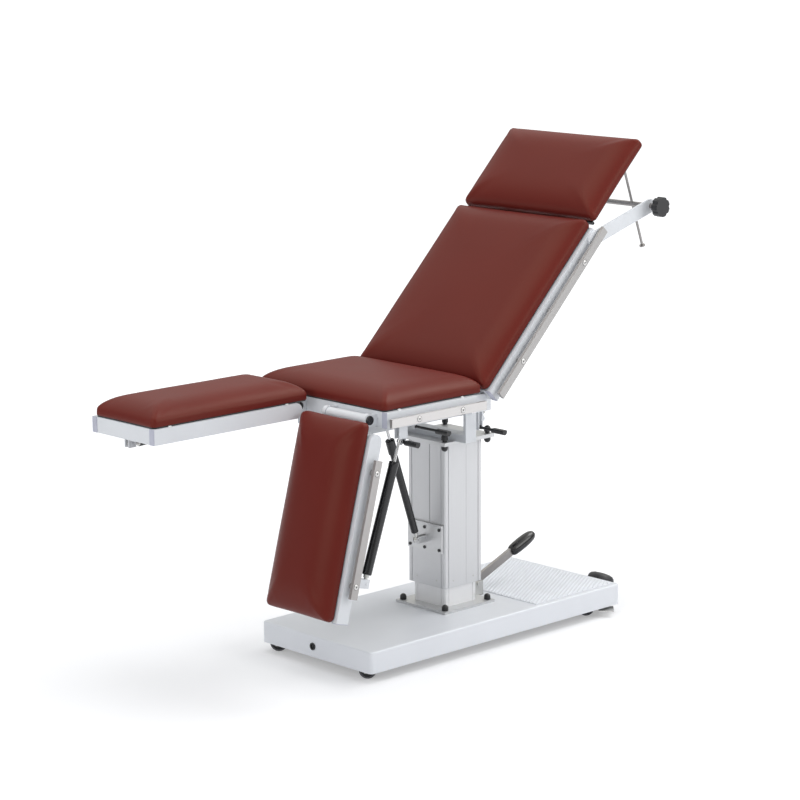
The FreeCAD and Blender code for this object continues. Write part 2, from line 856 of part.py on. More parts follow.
def caster(name, end, side, turn):
    """Fork and wheel, drawn trailing along +X and then turned to its heading."""
    x = D["caster_x_head"] if end > 0 else -D["caster_x_foot"]
    y = side * D["caster_y"]
    trail, wheel = D["caster_trail"], D["wheel_radius"]
    inside = D["wheel_width"] / 2 + side_gap
    outside = inside + D["caster_cheek"]
    crown_low = wheel * 2 + 2
    crown = box(-14, trail + 12, -outside, outside, crown_low, crown_low + 4, "crown")
    cheeks = []
    for turn_side in SIDES:
        y0, y1 = ordered(turn_side * inside, turn_side * outside)
        cheeks.append(box(trail - 8, trail + 10, y0, y1, wheel - 8, crown_low, "cheek"))
        cheeks.append(box(-10, trail + 10, y0, y1, crown_low - 8, crown_low, "cheek"))
    stem = rod("z", crown_low, cover_inside - 4, (0, 0), D["caster_stem_radius"], "stem")
    axle = rod("y", -outside, outside, (trail, wheel), D["caster_axle_radius"], "axle")
    collar = rod("z", crown_low + 4, beam_bottom - side_gap, (0, 0), 13, "bearing")
    parts = [crown, stem, axle, collar] + cheeks
    if name == "head_near":
        pivot, level = D["brake_pivot_x"], D["brake_pivot_z"]
        for turn_side in SIDES:
            y0, y1 = ordered(turn_side * 9.5, turn_side * 13)
            parts.append(box(pivot - 5, -10, y0, y1, level - 5, crown_low + 4, "ear"))
        parts.append(rod("y", -13, 13, (pivot, level), 2.5, "brake_pin"))
    fork = fuse(parts, "fork")
    fork.Placement.Rotation = FreeCAD.Rotation(FreeCAD.Vector(0, 0, 1), turn)
    place(fork, x, y, 0)
    node(f"caster_fork_{name}", fork)
    bore = D["caster_axle_radius"] + gap
    half = D["wheel_width"] / 2
    hub = D["wheel_hub_radius"]
    tyre = wheel - 6
    owner = turned([(bore, -half), (hub, -half), (hub + 2, 3 - half), (tyre, 3 - half),
                    (tyre, 1 - half), (wheel - 2, 1 - half), (wheel, 4 - half),
                    (wheel, half - 4), (wheel - 2, half - 1), (tyre, half - 1),
                    (tyre, half - 3), (hub + 2, half - 3), (hub, half), (bore, half)],
                   f"wheel_{name}")
    heading_now = FreeCAD.Rotation(FreeCAD.Vector(0, 0, 1), turn)
    lay_down = FreeCAD.Rotation(FreeCAD.Vector(1, 0, 0), 90)
    owner.Placement.Rotation = heading_now.multiply(lay_down)
    course = size(turn)
    place(owner, x + trail * cos(course), y + trail * sin(course), wheel)
    node(f"caster_wheel_{name}", owner)


def outer_column():
    owner = column_profile("outer_column", outer_half, D["outer_column_wall"],
                           D["outer_column_bottom"], D["outer_column_top"])
    node("outer_column", owner)


def top_plate():
    half = D["top_plate_size"] / 2
    reach = D["foot_bolt_spacing"] / 2
    low = D["outer_column_top"]
    node("column_top_plate", box(-half, half, -half, half, low, plate_top))
    nuts = []
    for sx in SIDES:
        for sy in SIDES:
            nuts.append(dome_nut(sx * reach, sy * reach, low, up=False))
            nuts.append(dome_nut(sx * reach, sy * reach, plate_top + 6))
            nuts.append(rod("z", plate_top, plate_top + 6,
                            (sx * reach, sy * reach), 7, "washer"))
    return nuts


def yoke():
    """U-shaped carrier on the column; the tilt axle turns in its two uprights."""
    half = D["yoke_width"] / 2
    x0, x1 = D["yoke_x"] - half, D["yoke_x"] + half
    span = D["yoke_half_span"]
    inner = span - D["yoke_cheek"]
    axle_z = D["tilt_axle_z"]
    bar = box(x0, x1, -span, span, plate_top, plate_top + D["yoke_bar_height"], "bar")
    uprights = []
    for side in SIDES:
        y0, y1 = ordered(side * inner, side * span)
        uprights.append(box(x0, x1, y0, y1, plate_top, axle_z, "upright"))
        uprights.append(rod("y", y0, y1, (D["yoke_x"], axle_z), half, "rounded_top"))
    hole = rod("y", -span - 1, span + 1, (D["yoke_x"], axle_z),
               D["tilt_axle_radius"] + gap, "axle_hole")
    node("tilt_yoke", cut(fuse([bar] + uprights), [hole]))
    collars = [rod("y", -span - 12, span + 12, (D["yoke_x"], axle_z),
                   D["tilt_axle_radius"], "axle")]
    for side in SIDES:
        y0, y1 = ordered(side * (span + side_gap), side * (span + 12))
        collars.append(rod("y", y0, y1, (D["yoke_x"], axle_z),
                           D["tilt_axle_radius"] + 5, "collar"))
    node("tilt_axle", fuse(collars))


def clevis(x, z, y, base_x0, base_x1, base_z, tip, upward=True):
    """Two cheeks that reach from a flat seat at base_z to just past a pivot."""
    inner = D["clevis_gap"] / 2
    outer = inner + D["clevis_cheek"]
    cheeks = []
    for side in SIDES:
        y0, y1 = ordered(size(y) + side * inner, size(y) + side * outer)
        low, high = (base_z, tip) if upward else (tip, base_z)
        cheeks.append(box(base_x0, base_x1, y0, y1, low, high, "cheek"))
    return cheeks


def strut_bracket():
    """Plate screwed to the foot face of the column, with the lower clevis on it."""
    face = -outer_half
    front = face - D["bracket_plate_thickness"]
    half = D["bracket_plate_width"] / 2
    low, high = D["bracket_plate_bottom"], D["bracket_plate_top"]
    plate = box(front, face, -half, half, low, high, "plate")
    x, z = D["tilt_spring_lower_x"], D["tilt_spring_lower_z"]
    inner = D["clevis_gap"] / 2
    outer = inner + D["clevis_cheek"]
    cheeks = []
    for side in SIDES:
        y0, y1 = ordered(side * inner, side * outer)
        cheeks.append(box(x, front, y0, y1, z - 10, z + 10, "cheek"))
        cheeks.append(rod("y", y0, y1, (x, z), 10, "cheek_end"))
    pin = rod("y", -outer - 2, outer + 2, (x, z), D["pivot_pin_radius"], "pin")
    node("strut_bracket_plate", fuse([plate, pin] + cheeks))
    screws = []
    for y in (-half + 10, size(0), half - 10):
        for level in (low + 10, high - 14):
            screws.append(rod("x", front - 2.5, front, (y, level),
                              D["bracket_screw_radius"], "screw_head"))
    return screws


def seat_frame():
    half = D["table_half_width"]
    front, rear = D["seat_front"], D["seat_rear"]
    member = D["frame_member"]
    pieces = []
    for side in SIDES:
        y0, y1 = ordered(side * member_inner_y, side * half)
        pieces.append(box(front, rear, y0, y1, frame_bottom, frame_top, "side_member"))
    for x0 in (front, rear - member):
        pieces.append(box(x0, x0 + member, -member_inner_y, member_inner_y,
                          frame_bottom, frame_top, "cross_member"))
    for side in SIDES:
        y0, y1 = ordered(side * (D["back_lug_y"] + side_gap), side * (D["back_lug_y"] + D["lug_thickness"]))
        pivot = (D["back_hinge_x"], D["frame_middle_z"])
        radius = D["back_lug_radius"]
        pieces.append(box(rear, D["back_hinge_x"], y0, y1, D["frame_middle_z"] - radius,
                          D["frame_middle_z"] + radius, "back_lug"))
        pieces.append(rod("y", y0, y1, pivot, radius, "lug_end"))
        pin0, pin1 = ordered(side * (D["back_lug_y"] - D["lug_thickness"]),
                             side * (D["back_lug_y"] + D["lug_thickness"]))
        pieces.append(rod("y", pin0, pin1, pivot, D["back_pin_radius"], "back_pin"))
    for side in SIDES:
        pieces += clevis(D["leg_spring_seat_x"], D["leg_spring_seat_z"],
                         side * D["leg_spring_y"], D["leg_spring_seat_x"] - 16,
                         D["leg_spring_seat_x"] + 16, frame_bottom,
                         D["leg_spring_seat_z"] - 12, upward=False)
        w0, w1 = ordered(side * (D["leg_lever_y"] - 6), side * (D["leg_spring_y"] + 10))
        pieces.append(box(D["leg_spring_seat_x"] - 16, D["leg_lever_x"] + 12,
                          w0, w1, frame_bottom - 6, frame_bottom, "web"))
        pieces += lever_mount(D["leg_lever_x"], side * D["leg_lever_y"],
                              D["leg_lever_z"], frame_bottom)
    node("seat_frame", fuse(pieces))


def cradle():
    """Two flat bars under the seat on the tilt axle, tied by cross bars."""
    y = D["cradle_y"]
    half = D["cradle_thickness"] / 2
    low = D["cradle_bottom"]
    axle = (D["yoke_x"], D["tilt_axle_z"])
    bars = []
    for side in SIDES:
        y0, y1 = side * y - half, side * y + half
        bars.append(box(D["cradle_front"], D["cradle_rear"], y0, y1, low, frame_bottom,
                        "bar"))
    upper_x = D["tilt_spring_upper_x"]
    tie = box(upper_x - 18, upper_x + 18, -y + half, y - half, frame_bottom - 18,
              frame_bottom, "cross_bar")
    inner = D["clevis_gap"] / 2
    outer = inner + D["clevis_cheek"]
    cheeks = []
    for side in SIDES:
        y0, y1 = ordered(side * inner, side * outer)
        cheeks.append(box(upper_x - 12, upper_x + 12, y0, y1,
                          D["tilt_spring_upper_z"] - 10, frame_bottom - 18, "cheek"))
    rear_x, rear_z = D["back_spring_seat_x"], D["back_spring_seat_z"]
    arm_y = D["back_spring_y"]
    tie_x = rear_x - 32
    rear_tie = box(tie_x, tie_x + 16, -y + half, y - half, low, low + 20, "rear_tie")
    rear_cheeks = []
    for side in SIDES:
        y0, y1 = ordered(arm_y + side * inner, arm_y + side * outer)
        rear_cheeks.append(box(tie_x, rear_x + 4, y0, y1, rear_z - 9, rear_z + 18, "cheek"))
        rear_cheeks.append(box(tie_x, tie_x + 16, y0, y1, rear_z + 18, low, "cheek"))
        rear_cheeks.append(rod("y", y0, y1, (rear_x, rear_z), 9, "cheek_end"))
    pin = rod("y", arm_y - outer - 2, arm_y + outer + 2, (rear_x, rear_z),
              D["pivot_pin_radius"], "pin")
    tilt_x = D["tilt_lever_x"]
    lever_tie = box(tilt_x - 12, tilt_x + 12, -y + half, y - half, low, low + 10,
                    "lever_tie")
    mounts = lever_mount(tilt_x, D["lever_pivot_y"], D["lever_z"], low)
    mounts += lever_mount(D["back_lever_x"], D["back_lever_pivot_y"],
                          D["back_lever_z"], low)
    hole = rod("y", -y - half - 1, y + half + 1, axle, D["tilt_axle_radius"], "hole")
    frame = fuse(bars + [tie, rear_tie, lever_tie, pin] + cheeks + rear_cheeks + mounts)
    node("seat_cradle", cut(frame, [hole]))


def lever_mount(x, y, z, top):
    """Two ears with a pin along X between them, for a release lever."""
    ears = [rod("x", x - 10, x + 10, (y, z), 2.5, "lever_pin")]
    for side in SIDES:
        x0, x1 = ordered(x + side * 5.5, x + side * 9.5)
        ears.append(box(x0, x1, y - 6, y + 6, z - 7, top, "ear"))
    return ears


def leg_collars():
    """Two collars for each leg on the front of the seat, with the hinge pins."""
    x, z = D["leg_hinge_x"], D["frame_middle_z"]
    pieces = []
    radius, width = D["collar_radius"], D["collar_width"]
    for side in SIDES:
        for near_y, into in ((D["collar_inner_y"], 1), (D["collar_outer_y"], -1)):
            far_y = near_y + width
            y0, y1 = ordered(side * near_y, side * far_y)
            ring = rod("y", y0, y1, (x, z), radius, "collar")
            lug = box(x, D["seat_front"], y0, y1, z - radius, z + radius - 4, "lug")
            pin_far = far_y + 6 if into > 0 else near_y - 24
            pin_near = near_y if into > 0 else far_y
            p0, p1 = ordered(side * pin_near, side * (pin_far + 18 if into > 0 else pin_far))
            pin = rod("y", p0, p1, (x, z), D["leg_pin_radius"], "pin")
            pieces.append(fuse([ring, lug, pin]))
    node("leg_hinge_collars", group(pieces))


def rail_set(label, sides, start, length, screws):
    """Accessory rails of 25 by 10 mm on round spacers, each with screw heads."""
    pieces = []
    for side in sides:
        y0, y1 = ordered(side * rail_inner_y, side * D["rail_face_y"])
        bar = box(start, size(start) + length, y0, y1, rail_bottom,
                  rail_bottom + D["rail_height"], "rail")
        middle = rail_bottom + D["rail_height"] / 2
        parts = [bar]
        for x in screws:
            s0, s1 = ordered(side * D["table_half_width"], side * rail_inner_y)
            parts.append(rod("y", s0, s1, (x, middle), D["rail_spacer_radius"], "spacer"))
        pieces.append(fuse(parts))
    return group(pieces, label)


def seat_rails():
    start = D["seat_rail_front"]
    first = start + D["seat_rail_screw_first"]
    node("seat_rails", rail_set("seat_rails", SIDES, start, D["seat_rail_length"],
                                (first, first + D["seat_rail_screw_spacing"])))


def cushion(label, x0, x1, y0, y1, z0, height, inset):
    """Closed pad: square below, widest at its shoulder, drawn in at its crown."""
    owner = body(label)
    shoulder = D["pad_shoulder"]
    rings = ((x0, x1, y0, y1, size(z0)),
             (x0, x1, y0, y1, size(z0) + shoulder),
             (size(x0) + inset, size(x1) - inset, size(y0) + inset, size(y1) - inset,
              size(z0) + height))
    outlines = []
    for a0, a1, b0, b1, level in rings:
        drawing = sketch(owner, "XY_Plane", level)
        polygon(drawing, rectangle(a0, a1, b0, b1))
        outlines.append(drawing)
    loft = owner.newObject("PartDesign::AdditiveLoft", "crowned")
    loft.Profile = outlines[0]
    loft.Sections = outlines[1:]
    loft.Ruled = True
    return owner


def seat_pad():
    half = D["pad_half_width"]
    node("seat_pad", cushion("seat_pad", D["seat_pad_front"], D["seat_pad_rear"], -half,
                             half, frame_top, D["pad_height"], D["pad_inset"]))


def release_lever(label, x, y, z, side, reach):
    """Rod that tips up on its pin, with a flattened black grip at its outer end."""
    inner = y - side * 14
    outer = y + side * size(reach)
    end = outer + side * D["lever_grip_length"]
    y0, y1 = ordered(inner, outer)
    shaft = rod("y", y0, y1, (x, z), D["lever_radius"], "shaft")
    hub = rod("x", x - 5, x + 5, (y, z), 6, "hub")
    y0, y1 = ordered(outer, end)
    grip = rod("y", y0, y1, (x, z), D["lever_grip_radius"], "grip")
    wide = D["lever_grip_radius"] + 1
    flat = box(x - wide, x + wide, y0 - 1, y1 + 1, z + wide * 0.55, z + wide, "flat")
    eye = rod("x", x - 6, x + 6, (y, z), 2.5 + gap, "eye")
    node(label, cut(fuse([shaft, hub, grip]), [eye, flat]))


def leg_section(name, side, turn):
    x, z = D["leg_hinge_x"], D["frame_middle_z"]
    foot = x - D["leg_length"]
    start = x - D["leg_frame_start"]
    member = D["frame_member"]
    inner = D["leg_gap"] / 2
    outer = D["table_half_width"]
    half_height = D["frame_height"] / 2
    low, high = z - half_height, z + half_height
    pieces = []
    for a, b in ((inner, inner + member), (outer - member, outer)):
        y0, y1 = ordered(side * a, side * b)
        pieces.append(box(foot, start, y0, y1, low, high, "side_member"))
        pieces.append(rod("y", y0, y1, (start, z), half_height, "rounded_end"))
    y0, y1 = ordered(side * (inner + member), side * (outer - member))
    for x0 in (foot, start - member):
        pieces.append(box(x0, x0 + member, y0, y1, low, high, "cross_member"))
    b0, b1 = ordered(side * (D["collar_inner_y"] + D["collar_width"] + side_gap),
                     side * (D["collar_outer_y"] - side_gap))
    pieces.append(rod("y", b0, b1, (x, z), D["barrel_radius"], "barrel"))
    for a in (D["collar_inner_y"] + 34, D["collar_outer_y"] - 34):
        a0, a1 = ordered(side * (a - 6), side * (a + 6))
        pieces.append(box(start - 4, x, a0, a1, z - 12, z + 12, "arm"))
    u = x - D["leg_spring_u"]
    v = z + D["leg_spring_v"]
    strut_y = side * D["leg_spring_y"]
    pieces += clevis(u, v, strut_y, u - 13, u + 13, low, v - 10, upward=False)
    cheek_reach = D["clevis_gap"] / 2 + D["clevis_cheek"] + 2
    pieces.append(rod("y", strut_y - cheek_reach, strut_y + cheek_reach, (u, v),
                      D["pivot_pin_radius"], "pin"))
    bore = rod("y", b0 - 1, b1 + 1, (x, z), D["leg_pin_radius"] + gap, "bore")
    frame = cut(fuse(pieces), [bore])
    node(f"leg_frame_{name}", swing(frame, x, z, turn))
    p0, p1 = ordered(side * (inner + 1), side * D["pad_half_width"])
    pad_end = foot - 2
    cover = cushion(f"leg_pad_{name}", pad_end, x - D["leg_pad_start"], p0, p1, high,
                    D["pad_height"], D["pad_inset"])
    node(f"leg_pad_{name}", swing(cover, x, z, turn))
    rail_start = x - D["leg_rail_start"] - D["leg_rail_length"]
    inset = D["leg_rail_screw_inset"]
    rail = rail_set(f"leg_rail_{name}", (side,), rail_start, D["leg_rail_length"],
                    (rail_start + inset, rail_start + D["leg_rail_length"] - inset))
    node(f"leg_rail_{name}", swing(rail, x, z, turn))


def back_section():
    x, z = D["back_hinge_x"], D["frame_middle_z"]
    start = x + D["back_start"]
    end = x + D["back_length"]
    member = D["frame_member"]
    half = D["table_half_width"]
    half_height = D["frame_height"] / 2
    low, high = z - half_height, z + half_height
    pieces = []
    for side in SIDES:
        y0, y1 = ordered(side * member_inner_y, side * half)
        pieces.append(box(start, end, y0, y1, low, high, "side_member"))
        lug_in = D["back_lug_y"] - D["lug_thickness"] + 2
        l0, l1 = ordered(side * lug_in, side * (D["back_lug_y"] - side_gap))
        radius = D["back_lug_radius"] - 1
        pieces.append(rod("y", l0, l1, (x, z), radius, "lug_end"))
        pieces.append(box(x, start + 4, l0, l1, z - radius, z + radius, "lug"))
    strut_s = x + D["back_spring_s"]
    for x0 in (start, strut_s + 24, end - member):
        pieces.append(box(x0, x0 + member, -member_inner_y, member_inner_y, low, high,
                          "cross_member"))
    v = z + D["back_spring_t"]
    y = D["back_spring_y"]
    inner = D["clevis_gap"] / 2
    outer = inner + D["clevis_cheek"]
    for side in SIDES:
        y0, y1 = ordered(y + side * inner, y + side * outer)
        pieces.append(box(strut_s - 14, strut_s + 44, y0, y1, v - 10, low + 6, "cheek"))
    bores = []
    for side in SIDES:
        b0, b1 = ordered(side * 200, side * D["back_lug_y"])
        bores.append(rod("y", b0, b1, (x, z), D["back_pin_radius"] + gap, "bore"))
    head_x = x + D["head_hinge_s"]
    for side in SIDES:
        h0, h1 = ordered(side * 100, side * 114)
        pieces.append(rod("y", h0, h1, (head_x, z), 14, "head_lug"))
        pieces.append(box(end - 4, head_x, h0, h1, z - 14, z + 14, "head_lug"))
        q0, q1 = ordered(side * 84, side * 114)
        pieces.append(rod("y", q0, q1, (head_x, z), D["head_hinge_radius"], "head_pin"))
    frame = cut(fuse(pieces), bores)
    turn = -D["back_angle"]
    node("back_frame", swing(frame, x, z, turn))
    pad_half = D["pad_half_width"]
    cover = cushion("back_pad", x + D["back_pad_start"], x + D["back_pad_end"],
                    -pad_half, pad_half, high, D["pad_height"], D["pad_inset"])
    node("back_pad", swing(cover, x, z, turn))
    rail_start = x + D["back_rail_start"]
    inset = D["back_rail_screw_inset"]
    length = D["back_rail_length"]
    rails = rail_set("back_rails", SIDES, rail_start, length,
                     (rail_start + inset, rail_start + length / 2,
                      rail_start + length - inset))
    node("back_rails", swing(rails, x, z, turn))


def head_section():
    x, z = D["back_hinge_x"], D["frame_middle_z"]
    turn = -D["back_angle"]
    high = z + D["frame_height"] / 2 - D["head_drop"]
    start, end = x + D["head_pad_start"], x + D["head_pad_end"]
    board = box(start + 12, end - 12, -D["pad_half_width"] + 12, D["pad_half_width"] - 12,
                high - D["head_board"], high, "board")
    head_x = x + D["head_hinge_s"]
    pieces = [board]
    for side in SIDES:
        k0, k1 = ordered(side * 85, side * (100 - side_gap))
        pieces.append(rod("y", k0, k1, (head_x, z), 13, "knuckle"))
        pieces.append(box(head_x, head_x + 90, k0, k1, z - 4, high, "strap"))
    u = x + D["prop_pivot_s"]
    v = z + D["prop_pivot_t"]
    inner = D["clevis_gap"] / 2
    for side in SIDES:
        y0, y1 = ordered(D["prop_y"] + side * inner, D["prop_y"] + side * (inner + 4))
        pieces.append(box(u - 14, u + 14, y0, y1, v - 8, high, "cheek"))
    bores = []
    for side in SIDES:
        b0, b1 = ordered(side * 80, side * 101)
        bores.append(rod("y", b0, b1, (head_x, z), D["head_hinge_radius"] + gap, "bore"))
    node("head_frame", swing(cut(fuse(pieces), bores), x, z, turn))
    half = D["pad_half_width"]
    cover = cushion("head_pad", start, end, -half, half, high, D["pad_height"],
                    D["pad_inset"])
    node("head_pad", swing(cover, x, z, turn))
    head_arms(x, z, turn)


def head_arms(x, z, turn):
    """Flat arms from the top of the back to the cross tube, a tilt rod through it."""
    tube_x, tube_z = x + D["cross_tube_s"], z + D["cross_tube_t"]
    root_x, root_z = x + D["back_length"] - 24, z
    across, up = tube_x - root_x, tube_z - root_z
    length = root(across * across + up * up)
    half = D["arm_width"] / 2
    y_in = D["table_half_width"]
    y_out = y_in + D["arm_thickness"]
    arms = []
    for side in SIDES:
        y0, y1 = ordered(side * y_in, side * y_out)
        arm = fuse([box(0, length, y0, y1, -half, half, "bar"),
                    rod("y", y0, y1, (0, 0), half, "root"),
                    rod("y", y0, y1, (length, 0), half, "tip")])
        hole = rod("y", y0 - 1, y1 + 1, (length, 0), D["cross_tube_radius"] + gap, "hole")
        bar = cut(arm, [hole])
        tilt = heading(across, up) - 90
        bar.Placement.Rotation = FreeCAD.Rotation(FreeCAD.Vector(0, 1, 0), tilt.value)
        arms.append(bar)
    tilt_angle = Size(f"atan2({across.text}; {up.text}) - 90 deg",
                      math.degrees(math.atan2(across.value, up.value)) - 90)
    for bar in arms:
        bind(bar, Placement__Rotation__Angle=tilt_angle)
        place(bar, root_x, 0, root_z)
    node("head_arms", swing(group(arms), x, z, turn))
    span = y_out + 1
    near_end = -D["table_half_width"] - D["knob_out"]
    tube = rod("y", near_end, span, (tube_x, tube_z), D["cross_tube_radius"], "tube")
    prop_x, prop_z = x + D["prop_pivot_s"], z + D["prop_pivot_t"]
    rod_across, rod_up = prop_x - tube_x, prop_z - tube_z
    reach = root(rod_across * rod_across + rod_up * rod_up)
    below = D["prop_below"]
    rod_angle = heading(rod_across, rod_up)
    boring = rod("z", -20, 20, (0, D["prop_y"]), D["prop_radius"] + gap, "rod_hole")
    boring.Placement.Rotation = FreeCAD.Rotation(FreeCAD.Vector(0, 1, 0), rod_angle.value)
    bind(boring, Placement__Rotation__Angle=rod_angle)
    place(boring, tube_x - 20 * sin(rod_angle), D["prop_y"], tube_z - 20 * cos(rod_angle))
    node("cross_tube", swing(cut(tube, [boring]), x, z, turn))
    stop_z = -below
    prop = fuse([rod("z", stop_z, reach, (0, 0), D["prop_radius"], "rod"),
                 rod("z", stop_z, stop_z + 5, (0, 0), 9, "stop"),
                 rod("y", -D["eye_width"] / 2, D["eye_width"] / 2, (0, reach), 7, "eye")])
    turned_rod = group([prop])
    turned_rod.Placement.Rotation = FreeCAD.Rotation(FreeCAD.Vector(0, 1, 0),
                                                     rod_angle.value)
    bind(turned_rod, Placement__Rotation__Angle=rod_angle)
    place(turned_rod, tube_x, D["prop_y"], tube_z)
    node("head_prop_rod", swing(group([turned_rod]), x, z, turn))
    clamp_knob(tube_x, tube_z, near_end, x, z, turn)


def clamp_knob(tube_x, tube_z, near_end, x, z, turn):
    """Two lobed discs on the end of the cross tube."""
    owner = body("clamp_knob")
    drawing = sketch(owner, "XZ_Plane", -near_end - 2, "disc")
    circle(drawing, 0, 0, D["knob_radius"])
    thick = D["knob_disc"] * 2 + D["knob_gap"]
    disc = pad(owner, drawing, thick)
    scallop = sketch(owner, "XZ_Plane", -near_end - 3, "scallop")
    circle(scallop, D["knob_radius"] + 5, 0, 8)
    hollow = pocket(owner, scallop, thick + 2, forward=True, name="scallop_cut")
    ring = owner.newObject("PartDesign::PolarPattern", "lobes")
    ring.Originals = [hollow]
    ring.Axis = (drawing, ["N_Axis"])
    ring.Angle = 360
    ring.Occurrences = 7
    owner.Tip = ring
    bore = sketch(owner, "XZ_Plane", -near_end - 3, "bore")
    circle(bore, 0, 0, D["cross_tube_radius"] + gap)
    pocket(owner, bore, 15, forward=True)
    flat_x, flat_z = swung(tube_x, tube_z, x, z, turn)
    place(owner, flat_x, 0, flat_z)
    node("clamp_knob", owner)


def gas_spring(tube_label, rod_label, start, end, y, radii, lengths):
    """Tube from the start pivot towards the end pivot, and the rod that slides in it."""
    tube_radius, rod_radius = radii
    tube_length, rod_length = lengths
    fitting = 26
    across, up = end[0] - start[0], end[1] - start[1]
    length = root(across * across + up * up)
    angle = heading(across, up)
    eye = D["eye_radius"]
    half = D["eye_width"] / 2
    lug = fuse([rod("y", -half, half, (0, 0), eye, "eye"),
                box(-eye + 2, eye - 2, -half, half, 0, fitting + 2, "shank"),
                rod("z", fitting, tube_length, (0, 0), tube_radius, "tube")])
    cuts = [rod("y", -half - 1, half + 1, (0, 0), D["pivot_pin_radius"] + gap, "eye_hole"),
            rod("z", fitting + 10, size(tube_length) + 1, (0, 0), rod_radius + gap, "bore")]
    parts = [cut(lug, cuts)]
    tube = group(parts)
    piston = rod("z", length - rod_length, length - eye + 3, (0, 0), rod_radius, "rod")
    tip = rod("y", -half, half, (0, length), eye - 1, "tip_eye")
    sliding = group([fuse([piston, tip])])
    for obj in (tube, sliding):
        obj.Placement.Rotation = FreeCAD.Rotation(FreeCAD.Vector(0, 1, 0), angle.value)
        bind(obj, Placement__Rotation__Angle=angle)
        place(obj, start[0], y, start[1])
    node(tube_label, tube)
    node(rod_label, sliding)


def springs():
    gas_spring("tilt_spring_tube", "tilt_spring_rod",
               (D["tilt_spring_lower_x"], D["tilt_spring_lower_z"]),
               (D["tilt_spring_upper_x"], D["tilt_spring_upper_z"]),
               0, (D["tilt_tube_radius"], D["tilt_rod_radius"]),
               (D["tilt_tube_length"], D["tilt_rod_length"]))
    x, z = D["leg_hinge_x"], D["frame_middle_z"]
    seat_pivot = (D["leg_spring_seat_x"], D["leg_spring_seat_z"])
    for name, side, turn in LEGS:
        leg_pivot = swung(x - D["leg_spring_u"], z + D["leg_spring_v"], x, z, turn)
        gas_spring(f"leg_spring_tube_{name}", f"leg_spring_rod_{name}", leg_pivot,
                   seat_pivot, side * D["leg_spring_y"],
                   (D["leg_tube_radius"], D["leg_rod_radius"]),
                   (D["leg_tube_length"], D["leg_rod_length"]))
    back_x = D["back_hinge_x"]
    back_pivot = swung(back_x + D["back_spring_s"], z + D["back_spring_t"], back_x, z,
                       -D["back_angle"])
    gas_spring("back_spring_tube", "back_spring_rod",
               (D["back_spring_seat_x"], D["back_spring_seat_z"]), back_pivot,
               D["back_spring_y"], (D["back_tube_radius"], D["back_rod_radius"]),
               (D["back_tube_length"], D["back_rod_length"]))


LEGS = (("near", -1, -D["leg_drop_angle"]), ("far", 1, size(0)))


def check_and_write():
    doc.recompute()
    for obj in doc.Objects:
        if "Invalid" in obj.State or "Error" in obj.State:
            raise RuntimeError(f"{obj.Label} failed: {obj.State}")
    triangles = 0
    for label, obj in SOLIDS.items():
        shape = obj.Shape
        if shape.isNull() or not shape.isValid() or not shape.Solids:
            raise RuntimeError(f"{label} has no valid solid")
        triangles += len(shape.tessellate(0.5)[1])
    for label, obj in SOLIDS.items():
        obj.Shape.exportStep(f"parts/{label}.step")
        print(label, len(obj.Shape.Solids), round(obj.Shape.Volume / 1000, 1), "cm3")
    print(len(SOLIDS), "pieces,", triangles, "triangles")


base_cover()
chassis()
tread_mat()
earth_socket()
column_foot()
inner_column()
hydraulics()
pump_lever()
lowering_pedal()
brake_pedal()
for caster_name, (end_side, near_side, heading_turn) in CASTERS.items():
    caster(caster_name, end_side, near_side, heading_turn)
outer_column()
node("column_fasteners", group(top_plate() + strut_bracket()))
yoke()
seat_frame()
cradle()
leg_collars()
seat_rails()
seat_pad()
release_lever("tilt_release_lever", D["tilt_lever_x"], D["lever_pivot_y"], D["lever_z"],
              -1, D["tilt_lever_reach"])
release_lever("back_release_lever", D["back_lever_x"], D["back_lever_pivot_y"],
              D["back_lever_z"], -1, D["back_lever_reach"])
for leg_name, leg_side, leg_turn in LEGS:
    release_lever(f"leg_release_lever_{leg_name}", D["leg_lever_x"],
                  leg_side * D["leg_lever_y"], D["leg_lever_z"], leg_side,
                  D["leg_lever_reach"])
for leg_name, leg_side, leg_turn in LEGS:
    leg_section(leg_name, leg_side, leg_turn)
back_section()
head_section()
springs()
check_and_write()
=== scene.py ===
# %% [markdown]
# # Dressing an operating table
# The CAD model is the skeleton: it fixes every size and every joint. This notebook
# gives that skeleton its looks. Metal and painted parts keep their CAD shape and get
# a finish; cushions, grips, wheels and the foot mat are modelled again, because their
# look depends on soft curves that a CAD solid only hints at.

# %% Load the frame
import math

import bmesh
import bpy
from mathutils import Matrix, Vector, noise


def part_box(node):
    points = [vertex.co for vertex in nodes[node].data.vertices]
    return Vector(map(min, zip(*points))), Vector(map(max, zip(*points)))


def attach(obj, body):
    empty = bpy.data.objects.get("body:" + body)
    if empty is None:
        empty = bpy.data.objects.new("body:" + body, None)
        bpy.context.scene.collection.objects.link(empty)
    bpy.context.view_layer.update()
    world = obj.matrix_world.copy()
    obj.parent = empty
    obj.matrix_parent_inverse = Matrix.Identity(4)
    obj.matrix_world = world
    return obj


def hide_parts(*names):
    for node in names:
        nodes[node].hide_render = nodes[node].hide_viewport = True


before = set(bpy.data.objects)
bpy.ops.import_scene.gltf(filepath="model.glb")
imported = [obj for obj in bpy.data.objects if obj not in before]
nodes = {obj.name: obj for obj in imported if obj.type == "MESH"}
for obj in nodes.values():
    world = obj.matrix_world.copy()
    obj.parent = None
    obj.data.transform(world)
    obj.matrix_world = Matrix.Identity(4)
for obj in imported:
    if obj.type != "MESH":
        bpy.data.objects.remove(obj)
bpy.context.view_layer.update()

# %% [markdown]
# ## A place to measure from
# The drawing of the table starts at the axis of its lifting column, in millimetres.
# Blender works in metres from the middle of the floor. One helper turns the first into
# the second, so each later step can use the numbers that a maker would read off.

